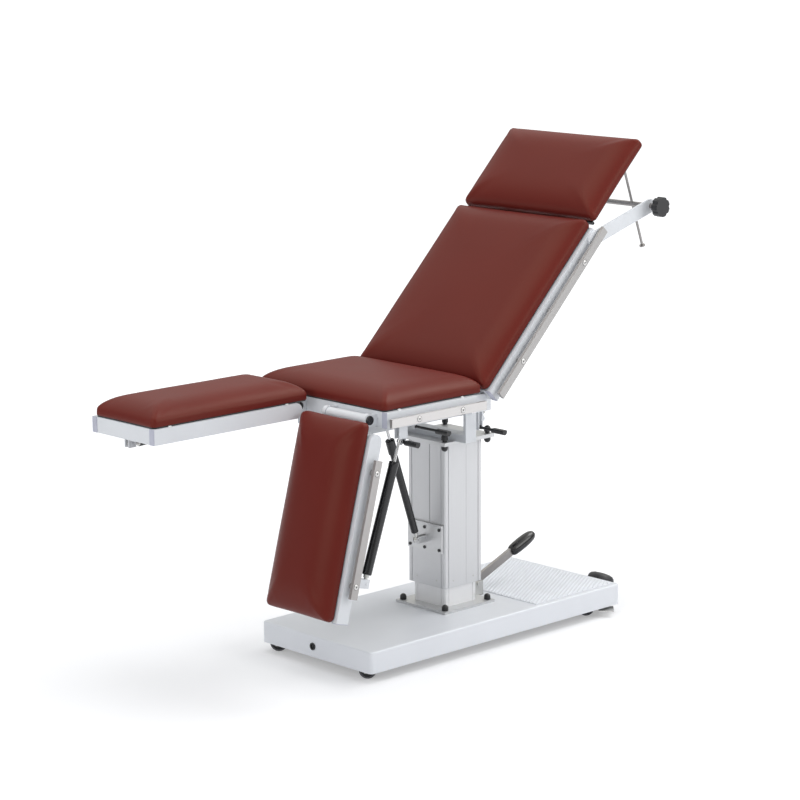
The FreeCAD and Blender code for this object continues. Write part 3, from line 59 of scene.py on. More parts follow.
# %% Measure from the column
base_low, base_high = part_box("base_cover")
COLUMN = Vector(((base_low[0] + base_high[0]) / 2, (base_low[1] + base_high[1]) / 2, 0))
MM = 0.001


def at(x, y, z):
    return COLUMN + Vector((x, y, z)) * MM


print("column axis stands at", tuple(round(v, 4) for v in COLUMN))

# %% [markdown]
# ## Three small helpers
# The same few Blender steps come back all the time: put an object into the scene, turn
# an edited mesh into mesh data, and add a shader node. The last one sets a node's
# numbers and plugs in whatever is itself an output, so a node tree reads as a list.

# %% Helpers
def into_scene(name, data):
    obj = bpy.data.objects.new(name, data)
    bpy.context.scene.collection.objects.link(obj)
    return obj


def mesh_data(name, mesh):
    """Mesh data from an edited mesh, which is freed."""
    data = bpy.data.meshes.new(name)
    mesh.to_mesh(data)
    mesh.free()
    return data


def add(tree, kind, inputs=None, **settings):
    made = tree.nodes.new("ShaderNode" + kind)
    for key, value in settings.items():
        setattr(made, key, value)
    for key, value in (inputs or {}).items():
        if isinstance(value, bpy.types.NodeSocket):
            tree.links.new(value, made.inputs[key])
        else:
            made.inputs[key].default_value = value
    return made


print("helpers ready")

# %% [markdown]
# ## The camera
# The photograph was taken with a long lens from the foot end, a little above the
# table. A camera can be aimed with a tracking constraint, but its roll is then free.
# Writing its three axes as the columns of a matrix fixes place, aim and roll at once.

# %% Camera
camera_right = Vector((0.72216, -0.6917, -0.00565))
camera_up = Vector((0.13983, 0.13798, 0.98051))
camera_back = Vector((-0.67744, -0.70888, 0.19636))
camera_data = bpy.data.cameras.new("studio_camera")
camera_data.lens = 119.25
camera_data.sensor_width = 36
camera_data.clip_end = 300
camera = into_scene("studio_camera", camera_data)
aim = Matrix((camera_right, camera_up, camera_back)).transposed().to_4x4()
camera.matrix_world = Matrix.Translation(at(-5462.1, -5522.0, 2272.8)) @ aim
bpy.context.scene.camera = camera
print("camera at", tuple(round(v, 3) for v in camera.matrix_world.translation))

# %% [markdown]
# ## Floor and light
# A catalogue photograph is shot on a white sweep. Here a large floor is enough: the
# camera sees it as almost white, yet its own shading is kept, so the table still drops
# a soft shadow. The world is plain white to the camera, dimmer as a lamp, and in
# reflections it grows brighter towards the zenith, like a studio ceiling. Softboxes
# then give the cushions their broad highlights.

# %% Floor
floor_mesh = bpy.data.meshes.new("floor")
reach = 120
floor_mesh.from_pydata([(-reach, -reach, 0), (reach, -reach, 0), (reach, reach, 0),
                        (-reach, reach, 0)], [], [(0, 1, 2, 3)])
floor = into_scene("floor", floor_mesh)

sweep = bpy.data.materials.new("white_sweep")
sweep.use_nodes = True
tree = sweep.node_tree
tree.nodes.clear()
path = add(tree, "LightPath")
direct = add(tree, "Math", {0: path.outputs["Is Camera Ray"],
                            1: path.outputs["Is Glossy Ray"]}, operation="MAXIMUM")
seen = add(tree, "Math", {0: direct.outputs[0], 1: path.outputs["Is Transmission Ray"]},
           operation="MAXIMUM")
place = add(tree, "TexCoord")
away = add(tree, "VectorMath", {0: place.outputs["Object"]}, operation="LENGTH")
spread = add(tree, "MapRange", {"Value": away.outputs["Value"], "From Min": 0.8,
                                "From Max": 4.5, "To Min": 0.30, "To Max": 0.75})
level = add(tree, "Math", {0: seen.outputs[0], 1: spread.outputs[0]}, operation="MULTIPLY")
matt = add(tree, "BsdfDiffuse", {"Color": (0.78, 0.78, 0.79, 1)})
glow = add(tree, "Emission", {"Strength": level.outputs[0]})
both = add(tree, "AddShader", {0: matt.outputs[0], 1: glow.outputs[0]})
add(tree, "OutputMaterial", {"Surface": both.outputs[0]})
floor_mesh.materials.append(sweep)
print("floor is", 2 * reach, "m wide")

# %% World
world = bpy.data.worlds.new("studio")
bpy.context.scene.world = world
world.use_nodes = True
tree = world.node_tree
tree.nodes.clear()
path = add(tree, "LightPath")
heading = add(tree, "TexCoord")
parts = add(tree, "SeparateXYZ", {0: heading.outputs["Generated"]})
climb = add(tree, "MapRange", {"Value": parts.outputs["Z"], "From Min": 0.1,
                               "From Max": 0.6, "To Min": 0.30, "To Max": 1.25})
lamp = add(tree, "Background", {"Color": (0.96, 0.98, 1, 1), "Strength": 0.54})
mirrored = add(tree, "Background", {"Color": (1, 0.99, 0.93, 1),
                                    "Strength": climb.outputs[0]})
backdrop = add(tree, "Background", {"Color": (1, 1, 1, 1), "Strength": 1})
bounced = add(tree, "MixShader", {0: path.outputs["Is Glossy Ray"], 1: lamp.outputs[0],
                                  2: mirrored.outputs[0]})
mixed = add(tree, "MixShader", {0: path.outputs["Is Camera Ray"], 1: bounced.outputs[0],
                                2: backdrop.outputs[0]})
add(tree, "OutputWorld", {"Surface": mixed.outputs[0]})
bpy.context.scene.view_settings.view_transform = "Standard"


# %% Softboxes
def softbox(name, place, target, width, height, power):
    data = bpy.data.lights.new(name, "AREA")
    data.shape = "RECTANGLE"
    data.size = width
    data.size_y = height
    data.energy = power
    obj = into_scene(name, data)
    obj.location = place
    obj.rotation_euler = (Vector(target) - Vector(place)).to_track_quat("-Z", "Y").to_euler()


softbox("key_softbox", (2.2, -3.9, 2.6), (0, 0, 0.7), 3.0, 2.2, 62)
softbox("top_softbox", (-1.0, 0.3, 4.4), (-0.1, 0, 0.3), 2.8, 2.8, 44)
softbox("foot_softbox", (-4.6, -0.6, 2.2), (-0.3, 0, 0.7), 2.4, 2.0, 40)
softbox("head_softbox", (3.5, -1.0, 4.2), (-0.1, 0, 0.7), 2.6, 2.2, 84)
print("lamps: key, top, foot and head softbox")

# %% [markdown]
# ## Finishes
# Every surface gets a material made of nodes. The pattern is worked out from Object
# coordinates, that is from the place of a point on the piece in metres, so it never
# stretches and needs no unwrapping.

# %% Finish helpers
def finish(name, colour, roughness, metallic=0.0, **sockets):
    made = bpy.data.materials.new(name)
    made.use_nodes = True
    shader = made.node_tree.nodes["Principled BSDF"]
    shader.inputs["Base Color"].default_value = (*colour, 1)
    shader.inputs["Roughness"].default_value = roughness
    shader.inputs["Metallic"].default_value = metallic
    for key, value in sockets.items():
        shader.inputs[key.replace("_", " ")].default_value = value
    return made, made.node_tree, shader


def spot(tree, stretch=(1, 1, 1), turn=(0, 0, 0)):
    """A place on the piece, turned first and then stretched."""
    place = add(tree, "TexCoord")
    turned = add(tree, "Mapping", {"Vector": place.outputs["Object"], "Rotation": turn})
    return add(tree, "Mapping", {"Vector": turned.outputs["Vector"],
                                 "Scale": stretch}).outputs["Vector"]


def vary(tree, shader, amount, low, high, socket="Base Color"):
    """Moves a colour or a number between two values with a pattern from 0 to 1."""
    if socket == "Base Color":
        blend = add(tree, "Mix", {0: amount, 6: (*low, 1), 7: (*high, 1)}, data_type="RGBA")
        tree.links.new(blend.outputs[2], shader.inputs[socket])
    else:
        blend = add(tree, "MapRange", {"Value": amount, "To Min": low, "To Max": high})
        tree.links.new(blend.outputs[0], shader.inputs[socket])


def relief(tree, shader, height, depth, strength):
    bump = add(tree, "Bump", {"Height": height, "Distance": depth, "Strength": strength})
    tree.links.new(bump.outputs["Normal"], shader.inputs["Normal"])


# %% [markdown]
# ## Leatherette
# The covers are a coated cloth pressed with a fine leather grain. The grain could be
# sculpted, but at under a millimetre a bump is enough. Small Voronoi cells give the
# pebbles, and a slow noise shifts colour and gloss a little, as handling does.

# %% Leatherette
leatherette, tree, shader = finish("burgundy_leatherette", (0.135, 0.021, 0.017), 0.4,
                                   Specular_IOR_Level=0.16,
                                   Specular_Tint=(1.0, 0.95, 0.70, 1))
pebbles = add(tree, "TexVoronoi", {"Vector": spot(tree), "Scale": 850.0},
              feature="SMOOTH_F1")
creases = add(tree, "TexNoise", {"Vector": spot(tree), "Scale": 320.0, "Detail": 4.0})
handling = add(tree, "TexNoise", {"Vector": spot(tree), "Scale": 5.0, "Detail": 3.0})
both = add(tree, "Math", {0: pebbles.outputs["Distance"], 1: creases.outputs[0]},
           operation="ADD")
relief(tree, shader, both.outputs[0], 0.0002, 0.16)
vary(tree, shader, handling.outputs[0], (0.122, 0.0132, 0.0108), (0.142, 0.0168, 0.0132))
vary(tree, shader, handling.outputs[0], 0.36, 0.44, "Roughness")
print("leatherette ready")

# %% [markdown]
# ## Paint, plastic and rubber
# Powder coat is melted on, so it is smooth at arm's length and faintly orange-peeled
# close up. Moulded plastic is duller with a finer grain, and rubber duller still. One
# function makes them all, with the grain's size and depth as its inputs.

# %% Painted and moulded finishes
def coated(name, colour, roughness, grain, depth, drift=0.04, **sockets):
    made, tree, shader = finish(name, colour, roughness, **sockets)
    peel = add(tree, "TexNoise", {"Vector": spot(tree), "Scale": grain, "Detail": 3.0})
    slow = add(tree, "TexNoise", {"Vector": spot(tree), "Scale": 7.0, "Detail": 2.0})
    relief(tree, shader, peel.outputs[0], depth, 0.3)
    dark = tuple(c * (1 - drift) for c in colour)
    pale = tuple(min(c * (1 + drift), 1) for c in colour)
    vary(tree, shader, slow.outputs[0], dark, pale)
    vary(tree, shader, slow.outputs[0], roughness * 0.85, min(roughness * 1.15, 1),
         "Roughness")
    return made


cover_paint = coated("cover_powder_coat", (0.82, 0.84, 0.88), 0.36, 700.0, 0.00012)
frame_paint = coated("frame_powder_coat", (0.76, 0.78, 0.81), 0.34, 900.0, 0.0001)
cap_plastic = coated("end_cap_plastic", (0.50, 0.51, 0.60), 0.4, 1400.0, 0.0001)
black_gloss = coated("spring_tube_black", (0.012, 0.012, 0.014), 0.2, 500.0, 0.00005,
                     drift=0.1)
black_plastic = coated("moulded_black", (0.016, 0.016, 0.018), 0.42, 1500.0, 0.0002,
                       drift=0.15)
black_rubber = coated("pedal_rubber", (0.022, 0.022, 0.026), 0.5, 1100.0, 0.0003,
                      drift=0.15)
wheel_rubber = coated("tyre_rubber", (0.10, 0.10, 0.11), 0.55, 900.0, 0.0002, drift=0.1)
mat_rubber = coated("mat_vinyl", (0.83, 0.85, 0.89), 0.5, 1200.0, 0.0001)
white_nylon = coated("white_nylon", (0.86, 0.86, 0.85), 0.45, 900.0, 0.0001)
# Seam greys: painted shade for the grooves of the column, darker on its shaded face and
# fainter on its lit face.
seam_shade_on_dark_face = coated("seam_shadow", (0.28, 0.28, 0.29), 0.6, 900.0, 0.0001)
seam_shade_on_lit_face = coated("seam_shade_on_lit_face", (0.58, 0.58, 0.60), 0.6, 900.0, 0.0001)
chassis_paint = coated("chassis_grey", (0.30, 0.31, 0.33), 0.5, 800.0, 0.0002)
print("painted and moulded finishes ready")


# %% [markdown]
# ## Metals
# A drawn or brushed metal shows fine lines along the way it was worked. Noise that is
# squeezed hard in one direction gives such lines. They change roughness more than
# colour, and a turned Mapping node lays them along a sloping rail.

# %% Metal finishes
def worked(name, colour, roughness, metallic, stretch, turn=(0, 0, 0), depth=0.00006,
           drift=0.06):
    made, tree, shader = finish(name, colour, roughness, metallic)
    lines = add(tree, "TexNoise", {"Vector": spot(tree, stretch, turn), "Scale": 1.0,
                                   "Detail": 4.0, "Roughness": 0.65})
    dark = tuple(c * (1 - drift) for c in colour)
    pale = tuple(min(c * (1 + drift), 1) for c in colour)
    vary(tree, shader, lines.outputs[0], dark, pale)
    vary(tree, shader, lines.outputs[0], roughness * 0.75, min(roughness * 1.3, 1),
         "Roughness")
    relief(tree, shader, lines.outputs[0], depth, 0.25)
    return made


ALONG = (9.0, 900.0, 900.0)
UPRIGHT = (700.0, 700.0, 5.0)
extrusion = worked("anodised_extrusion", (0.63, 0.635, 0.65), 0.42, 0.55, UPRIGHT)
inner_extrusion = worked("bright_extrusion", (0.88, 0.88, 0.89), 0.45, 0.2, UPRIGHT)
plate_metal = worked("anodised_plate", (0.62, 0.625, 0.635), 0.4, 0.6, (60, 60, 400))
# All rails are the same steel. The level ones show its colour; the sloping back rails and the
# hanging leg rail get darker copies, and that darker colour is painted shade.
rail_level = worked("rail_steel_level", (0.60, 0.585, 0.58), 0.36, 0.8, ALONG)
rail_back_painted_shade = worked("rail_steel_back_painted_shade", (0.41, 0.40, 0.395), 0.38, 0.85, ALONG,
                   (0, math.radians(45), 0))
rail_leg_painted_shade = worked("rail_steel_leg_painted_shade", (0.40, 0.385, 0.38), 0.38, 0.85, ALONG,
                  (0, math.radians(75), 0))
bright_rod = worked("polished_rod", (0.55, 0.55, 0.56), 0.2, 1.0, (40, 40, 40))
lever_steel = worked("lever_steel", (0.31, 0.295, 0.29), 0.35, 0.85, ALONG,
                     (0, math.radians(22), 0))
screw_steel = worked("screw_steel", (0.66, 0.65, 0.64), 0.3, 0.6, (300, 300, 300))


def plated(name, colour, roughness):
    made, tree, shader = finish(name, colour, roughness, 0.85)
    spangle = add(tree, "TexVoronoi", {"Vector": spot(tree), "Scale": 160.0})
    vary(tree, shader, spangle.outputs["Distance"], tuple(c * 0.9 for c in colour), colour)
    vary(tree, shader, spangle.outputs["Distance"], roughness * 0.8, roughness * 1.3,
         "Roughness")
    return made


zinc = plated("zinc_plate", (0.60, 0.60, 0.585), 0.34)
print("metal finishes ready")

# %% [markdown]
# ## Dress the CAD nodes
# A CAD node whose shape is right only needs a finish. Its mesh is left alone and the
# new material goes into its material slots. Nodes that get a new mesh further down are
# dressed here as well, so that the CAD model can be looked at on its own.

# %% Finish for each node
FINISHES = {
    "base_cover": cover_paint, "chassis_frame": chassis_paint, "tread_mat": mat_rubber,
    "earth_socket": black_plastic, "column_foot_plate": plate_metal,
    "foot_plate_nuts": black_plastic, "inner_column": inner_extrusion,
    "hydraulic_unit": zinc, "lowering_pedal_pin": zinc, "pump_lever": lever_steel,
    "pump_pedal_grip": black_rubber, "lowering_pedal": black_rubber,
    "brake_pedal": zinc, "outer_column": extrusion, "column_top_plate": plate_metal,
    "piston_rod": bright_rod, "column_fasteners": black_plastic,
    "strut_bracket_plate": plate_metal, "tilt_yoke": frame_paint, "tilt_axle": bright_rod,
    "seat_frame": frame_paint, "seat_cradle": frame_paint,
    "leg_hinge_collars": frame_paint, "seat_rails": rail_level,
    "tilt_release_lever": black_plastic, "back_release_lever": black_plastic,
    "leg_release_lever_near": black_plastic, "leg_release_lever_far": black_plastic,
    "leg_frame_near": frame_paint, "leg_frame_far": frame_paint,
    "leg_rail_near": rail_leg_painted_shade, "leg_rail_far": rail_level, "back_frame": frame_paint,
    "back_rails": rail_back_painted_shade, "head_arms": frame_paint, "head_frame": frame_paint,
    "cross_tube": lever_steel, "head_prop_rod": lever_steel, "clamp_knob": black_plastic,
    "seat_pad": leatherette, "leg_pad_near": leatherette, "leg_pad_far": leatherette,
    "back_pad": leatherette, "head_pad": leatherette,
}
for end in ("foot_near", "foot_far", "head_near", "head_far"):
    FINISHES["caster_fork_" + end] = zinc
    FINISHES["caster_wheel_" + end] = wheel_rubber
for spring in ("tilt", "leg", "back"):
    for side in ("_near", "_far") if spring == "leg" else ("",):
        FINISHES[f"{spring}_spring_tube{side}"] = black_gloss
        FINISHES[f"{spring}_spring_rod{side}"] = bright_rod
for label, node in nodes.items():
    for index in range(max(1, len(node.material_slots))):
        if len(node.material_slots) <= index:
            node.data.materials.append(FINISHES[label])
        node.material_slots[index].material = FINISHES[label]
print("dressed", len(nodes), "nodes; without a finish:", sorted(set(nodes) - set(FINISHES)))


# %% [markdown]
# ## Where the sections lie
# The seat is level, the back slopes at 45 degrees, one leg section hangs. A cushion is
# easiest to model lying flat at the origin, then laid on its section by one matrix:
# its columns are the section's length, width and thickness directions.

# %% Section axes
LEG_HINGE = (-530, 767.5)
BACK_HINGE = (-86, 767.5)
SEAT_TOP = 790
fall = math.radians(75)
SECTIONS = {
    "seat": ((0, SEAT_TOP), (1, 0), (0, 1)),
    "leg_near": (LEG_HINGE, (-math.cos(fall), -math.sin(fall)),
                 (-math.sin(fall), math.cos(fall))),
    "leg_far": (LEG_HINGE, (-1, 0), (0, 1)),
    "back": (BACK_HINGE, (math.sqrt(0.5), math.sqrt(0.5)), (-math.sqrt(0.5), math.sqrt(0.5))),
}


def lay(section, along, across, off):
    """Matrix from a flat piece, in metres, to its place on a section."""
    origin, run, rise = SECTIONS[section]
    run = Vector((run[0], 0, run[1]))
    rise = Vector((rise[0], 0, rise[1]))
    side = rise.cross(run)
    turn = Matrix((run, side, rise)).transposed().to_4x4()
    place = at(origin[0], across, origin[1]) + run * along * MM + rise * off * MM
    return Matrix.Translation(place) @ turn


print("sections:", ", ".join(SECTIONS))

# %% [markdown]
# ## The cushions
# Each cushion is foam on a board with the cover pulled over it and tucked in below. A
# cover that is pulled tight leaves a ridge from each corner, where two slopes meet, and
# a broad, almost flat top. The block is first shaped by the distance of each point to
# the edges, then blown up a little with the Cloth simulation, while its base is pinned
# where it lies on the frame.

# %% Shape a cushion block
WALL = 20 * MM
SLOPE = 108 * MM
TUCK = 5 * MM
TUCK_HEIGHT = 9 * MM
SAG = 1.8 * MM
SAG_REACH = 14 * MM
CORNER = 15 * MM
RIDGE_SOFT = 5 * MM
EDGE_STEPS = (0, 2.5, 6, 11, 17, 24, 32)
LAYERS = [0, 0.22, 0.5, 0.75, 1]


def rise_at(distance, height, slope):
    """Height of the cover at a distance from the edge: a wall, a shoulder, a crown."""
    left = 1 - min(max(distance / slope, 0), 1)
    return WALL + (height - WALL) * (1 - left ** 2.6) ** 0.68


def spaced(length, cell):
    """Grid lines across a length: close together at both ends, even in between."""
    edge = [step * MM for step in EDGE_STEPS]
    middle = length - 2 * edge[-1]
    count = round(middle / cell)
    inner = [edge[-1] + middle * n / count for n in range(1, count)]
    return edge + inner + [length - step for step in reversed(edge)]


def cushion_block(name, length, width, height, cell):
    """Closed block, 0..length by the width about 0, crowned, corners rounded in plan."""
    lines = [spaced(length, cell), spaced(width, cell), LAYERS]
    counts = [len(line) - 1 for line in lines]
    mesh = bmesh.new()
    spots = {}

    def point(key):
        if key not in spots:
            x, y, share = (line[index] for line, index in zip(lines, key))
            spots[key] = mesh.verts.new((x, y - width / 2, share))
        return spots[key]

    def skin(axis, fixed, flip):
        a, b = [n for n in range(3) if n != axis]
        for p in range(counts[a]):
            for q in range(counts[b]):
                ring = []
                for dp, dq in ((0, 0), (1, 0), (1, 1), (0, 1)):
                    index = [0, 0, 0]
                    index[axis], index[a], index[b] = fixed, p + dp, q + dq
                    ring.append(point(tuple(index)))
                mesh.faces.new(ring[::-1] if flip else ring)

    skin(2, counts[2], False)
    skin(2, 0, True)
    skin(1, 0, False)
    skin(1, counts[1], True)
    skin(0, 0, True)
    skin(0, counts[0], False)
    slope = min(SLOPE, width * 0.38)
    reach_x, reach_y = length / 2 - CORNER, width / 2 - CORNER
    for vert in mesh.verts:
        x, y, share = vert.co
        to_end = min(x, length - x)
        to_side = width / 2 - abs(y)
        if share > 0.999:
            ends, sides = rise_at(to_end, height, slope), rise_at(to_side, height, slope)
            gap = max(RIDGE_SOFT - abs(ends - sides), 0) / RIDGE_SOFT
            vert.co.z = min(ends, sides) - gap * gap * RIDGE_SOFT * 0.25
        else:
            vert.co.z = WALL * share
        tuck = TUCK * max(0, 1 - vert.co.z / TUCK_HEIGHT) ** 2
        dx, dy = (abs(x - length / 2) - reach_x) / CORNER, (abs(y) - reach_y) / CORNER
        if dx > 0 and dy > 0:
            round_x, round_y = dx * math.sqrt(1 - dy * dy / 2), dy * math.sqrt(1 - dx * dx / 2)
            x = length / 2 + math.copysign(reach_x + round_x * CORNER, x - length / 2)
            y = math.copysign(reach_y + round_y * CORNER, y)
        near_end = max(0, 1 - to_end / SAG_REACH)
        near_side = max(0, 1 - to_side / SAG_REACH)
        sag_end = SAG * math.sin(math.pi * min(max(y / width + 0.5, 0), 1))
        sag_side = SAG * math.sin(math.pi * min(max(x / length, 0), 1))
        x += math.copysign(near_end * (sag_end + tuck), length / 2 - x)
        y -= math.copysign(near_side * (sag_side + tuck), y)
        vert.co.x, vert.co.y = x, y
    return into_scene(name, mesh_data(name, mesh))


# %% Inflate it with Cloth
CLOTH_FRAMES = 16
PINNED_BELOW = 7 * MM
ASIDE = 1.5 * MM


def inflate(obj, lift):
    """Blows the cover up with the base pinned; the crown then rises by the lift."""
    group = obj.vertex_groups.new(name="base")
    held = [v.index for v in obj.data.vertices if v.co.z < PINNED_BELOW]
    group.add(held, 1.0, "ADD")
    rest = [v.co.copy() for v in obj.data.vertices]
    cloth = obj.modifiers.new("swell", "CLOTH")
    cloth.settings.use_pressure = True
    cloth.settings.uniform_pressure_force = 4
    cloth.settings.vertex_group_mass = "base"
    cloth.settings.effector_weights.gravity = 0
    cloth.settings.quality = 4
    cloth.collision_settings.use_collision = False
    cloth.point_cache.frame_end = CLOTH_FRAMES
    scene = bpy.context.scene
    for number in range(1, CLOTH_FRAMES + 1):
        scene.frame_set(number)
    blown = obj.evaluated_get(bpy.context.evaluated_depsgraph_get()).to_mesh()
    steps = [v.co - start for v, start in zip(blown.vertices, rest)]
    obj.modifiers.remove(cloth)
    scene.frame_set(1)
    tallest = max(max(step.z for step in steps), 1e-6)
    for vert, start, step in zip(obj.data.vertices, rest, steps):
        step.z = max(step.z * lift / tallest, -MM)
        step.x = min(max(step.x, -ASIDE), ASIDE)
        step.y = min(max(step.y, -ASIDE), ASIDE)
        vert.co = start + step
    return tallest


# %% [markdown]
# ## Corner folds
# A flat sheet can't go round a corner, so the upholsterer folds the spare cover into a
# small pleat along the ridge. It is thinner than a simulation cell, so it is pressed
# in afterwards: a narrow groove that starts at the corner and fades up the slope, with
# two fainter creases beside it.

# %% Press in the folds
FOLD_DEPTH = 2.1 * MM
CREASE_DEPTH = 0.5 * MM
FOLD_REACH = 110 * MM
FOLD_FADE = 34 * MM
RIPPLE = 0.8 * MM
RIPPLE_FROM = 12 * MM


def press_folds(obj, length, width):
    for vert in obj.data.vertices:
        x, y, z = vert.co
        to_end, to_side = min(x, length - x), width / 2 - abs(y)
        along = (to_end + to_side) / math.sqrt(2)
        across = (to_end - to_side) / math.sqrt(2)
        if z < 8 * MM or along > FOLD_REACH:
            continue
        beside = abs(across) - (10 * MM + along * 0.22)
        fold = FOLD_DEPTH * math.exp(-(across / (3.4 * MM)) ** 2)
        fold += CREASE_DEPTH * math.exp(-(beside / (4 * MM)) ** 2)
        vert.co.z -= fold * math.exp(-along / FOLD_FADE)
    for vert in obj.data.vertices:
        if vert.co.z > RIPPLE_FROM:
            slow = noise.noise(vert.co * 7) * RIPPLE
            vert.co.z += slow * min(1, (vert.co.z - RIPPLE_FROM) / RIPPLE_FROM)


# %% One cushion from block to cover
CREST = 6 * MM
# Cushion faces lower than this take the black finish: painted shade along the tucked-in foot
# of the cover, where it meets the frame.
PAINTED_SHADE_BELOW = 4.4 * MM


def cushion(name, node, body, section, along, across, off, length, width, height):
    obj = cushion_block(name, length * MM, width * MM, (height - 1) * MM, 9 * MM)
    swelled = inflate(obj, CREST)
    finer = obj.modifiers.new("finer", "SUBSURF")
    finer.levels = finer.render_levels = 1
    baked = bpy.data.meshes.new_from_object(
        obj.evaluated_get(bpy.context.evaluated_depsgraph_get()))
    obj.modifiers.remove(finer)
    obj.vertex_groups.clear()
    obj.data = baked
    press_folds(obj, length * MM, width * MM)
    baked.materials.clear()
    baked.materials.append(leatherette)
    baked.materials.append(black_plastic)
    baked.polygons.foreach_set("use_smooth", [True] * len(baked.polygons))
    # The lowest band of faces takes the black finish: painted shade at the foot of the cover.
    baked.polygons.foreach_set("material_index", [face.center.z < PAINTED_SHADE_BELOW
                                                  for face in baked.polygons])
    baked.transform(lay(section, along, across, off))
    baked.name = name
    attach(obj, body)
    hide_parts(node)
    print(f"{name}: {len(baked.polygons)} faces, swelled {swelled / MM:.1f} mm")


# %% Make the five cushions
WIDE, THICK = 540, 62
LEG_WIDE, LEG_LONG = 264, 566
ON_FRAME = 22.5
cushion("seat_cushion", "seat_pad", "seat", "seat", -504, 0, 0, 393, WIDE, THICK)
cushion("back_cushion", "back_pad", "back", "back", 14, 0, ON_FRAME, 626, WIDE, THICK)
cushion("head_cushion", "head_pad", "head", "back", 652, 0, 14.5, 310, WIDE, THICK)
for body, side in (("leg_near", -1), ("leg_far", 1)):
    end = body.split("_")[1]
    cushion("leg_cushion_" + end, "leg_pad_" + end, body, body, 6, side * 138, ON_FRAME,
            LEG_LONG, LEG_WIDE, THICK)

# %% [markdown]
# ## Turned pieces
# Wheels, grips and caps are round, so one outline spun about an axis makes them, as on
# a lathe. Spinning can leave the skin inside out; merging the doubled points and
# recalculating the normals puts that right.

# %% Lathe helper
def lathe(name, outline, steps, place, finishes, pick=None):
    """Spins (radius, height) points, in millimetres, about Z and puts the piece in place."""
    mesh = bmesh.new()
    line = [mesh.verts.new((r * MM, 0, h * MM)) for r, h in outline]
    edges = [mesh.edges.new(pair) for pair in zip(line, line[1:])]
    bmesh.ops.spin(mesh, geom=line + edges, cent=(0, 0, 0), axis=(0, 0, 1),
                   angle=2 * math.pi, steps=steps)
    bmesh.ops.remove_doubles(mesh, verts=mesh.verts, dist=1e-6)
    bmesh.ops.recalc_face_normals(mesh, faces=mesh.faces)
    if pick:
        for face in mesh.faces:
            mid = face.calc_center_median()
            face.material_index = pick(math.hypot(mid.x, mid.y) / MM, mid.z / MM)
    for face in mesh.faces:
        face.smooth = True
    data = mesh_data(name, mesh)
    data.transform(place)
    for used in finishes:
        data.materials.append(used)
    data.set_sharp_from_angle(angle=math.radians(35))
    return into_scene(name, data)


def facing(middle, direction):
    turn = Vector(direction).to_track_quat("Z", "Y").to_matrix().to_4x4()
    return Matrix.Translation(middle) @ turn


# %% [markdown]
# ## Caster wheels
# Each caster has a grey tyre on a black hub, with a raised bearing boss. The outline
# goes round the whole section, bore included, and what lies inside the tyre takes the
# second finish.

# %% Wheels
WHEEL_OUTLINE = [(4.2, -10), (9, -10), (11, -8.5), (12, -6.4), (18.5, -6.0), (19.4, -8.6),
                 (20.4, -9.2), (23.4, -9.0), (25.2, -6.8), (26, -3.5), (26, 3.5),
                 (25.2, 6.8), (23.4, 9.0), (20.4, 9.2), (19.4, 8.6), (18.5, 6.0),
                 (12, 6.4), (11, 8.5), (9, 10), (4.2, 10), (4.2, -10)]
WHEEL_HEADING = math.radians(135)
axle = (-math.sin(WHEEL_HEADING), math.cos(WHEEL_HEADING), 0)
for end in ("foot_near", "foot_far", "head_near", "head_far"):
    low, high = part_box("caster_wheel_" + end)
    middle = (Vector(low) + Vector(high)) / 2
    wheel = lathe("wheel_" + end, WHEEL_OUTLINE, 48, facing(middle, axle),
                  [wheel_rubber, black_plastic], lambda r, h: 1 if r < 19.4 else 0)
    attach(wheel, "wheel_" + end)
    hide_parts("caster_wheel_" + end)
print("wheels at the four corners")

# %% [markdown]
# ## Screws
# Countersunk screws with a hexagon socket hold each rail, and smaller ones the lifting
# profile. They are all alike, so one head is modelled, and a Geometry Nodes tree sets a
# copy on every marked point, turned by the angles kept with that point. The tree is
# baked to a plain mesh for each body. A black disc under each rail screw is painted
# shade: a dark ring for the gap round the head and a dark fill in its socket.

# %% One screw head
SIDES = 24


def head_of_screw():
    """A head of radius one: hexagon socket, flat rim, sunk edge."""
    mesh = bmesh.new()
    rings = []
    for radius, height, hexagon in ((0.36, -0.30, True), (0.36, 0.17, True),
                                    (0.44, 0.20, False), (0.72, 0.20, False),
                                    (1.0, 0.06, False), (1.0, -0.12, False)):
        ring = []
        for step in range(SIDES):
            angle = 2 * math.pi * step / SIDES
            r = radius
            if hexagon:
                r *= math.cos(math.pi / 6) / math.cos((angle + math.pi / 6) % (math.pi / 3)
                                                       - math.pi / 6)
            ring.append(mesh.verts.new((r * math.cos(angle), r * math.sin(angle), height)))
        rings.append(ring)
    for lower, upper in zip(rings, rings[1:]):
        for step in range(SIDES):
            after = (step + 1) % SIDES
            mesh.faces.new((lower[step], lower[after], upper[after], upper[step]))
    mesh.faces.new(rings[0])
    mesh.faces.new(rings[-1][::-1])
    bmesh.ops.recalc_face_normals(mesh, faces=mesh.faces)
    obj = into_scene("screw_head_pattern", mesh_data("screw_head", mesh))
    obj.hide_render = True
    return obj


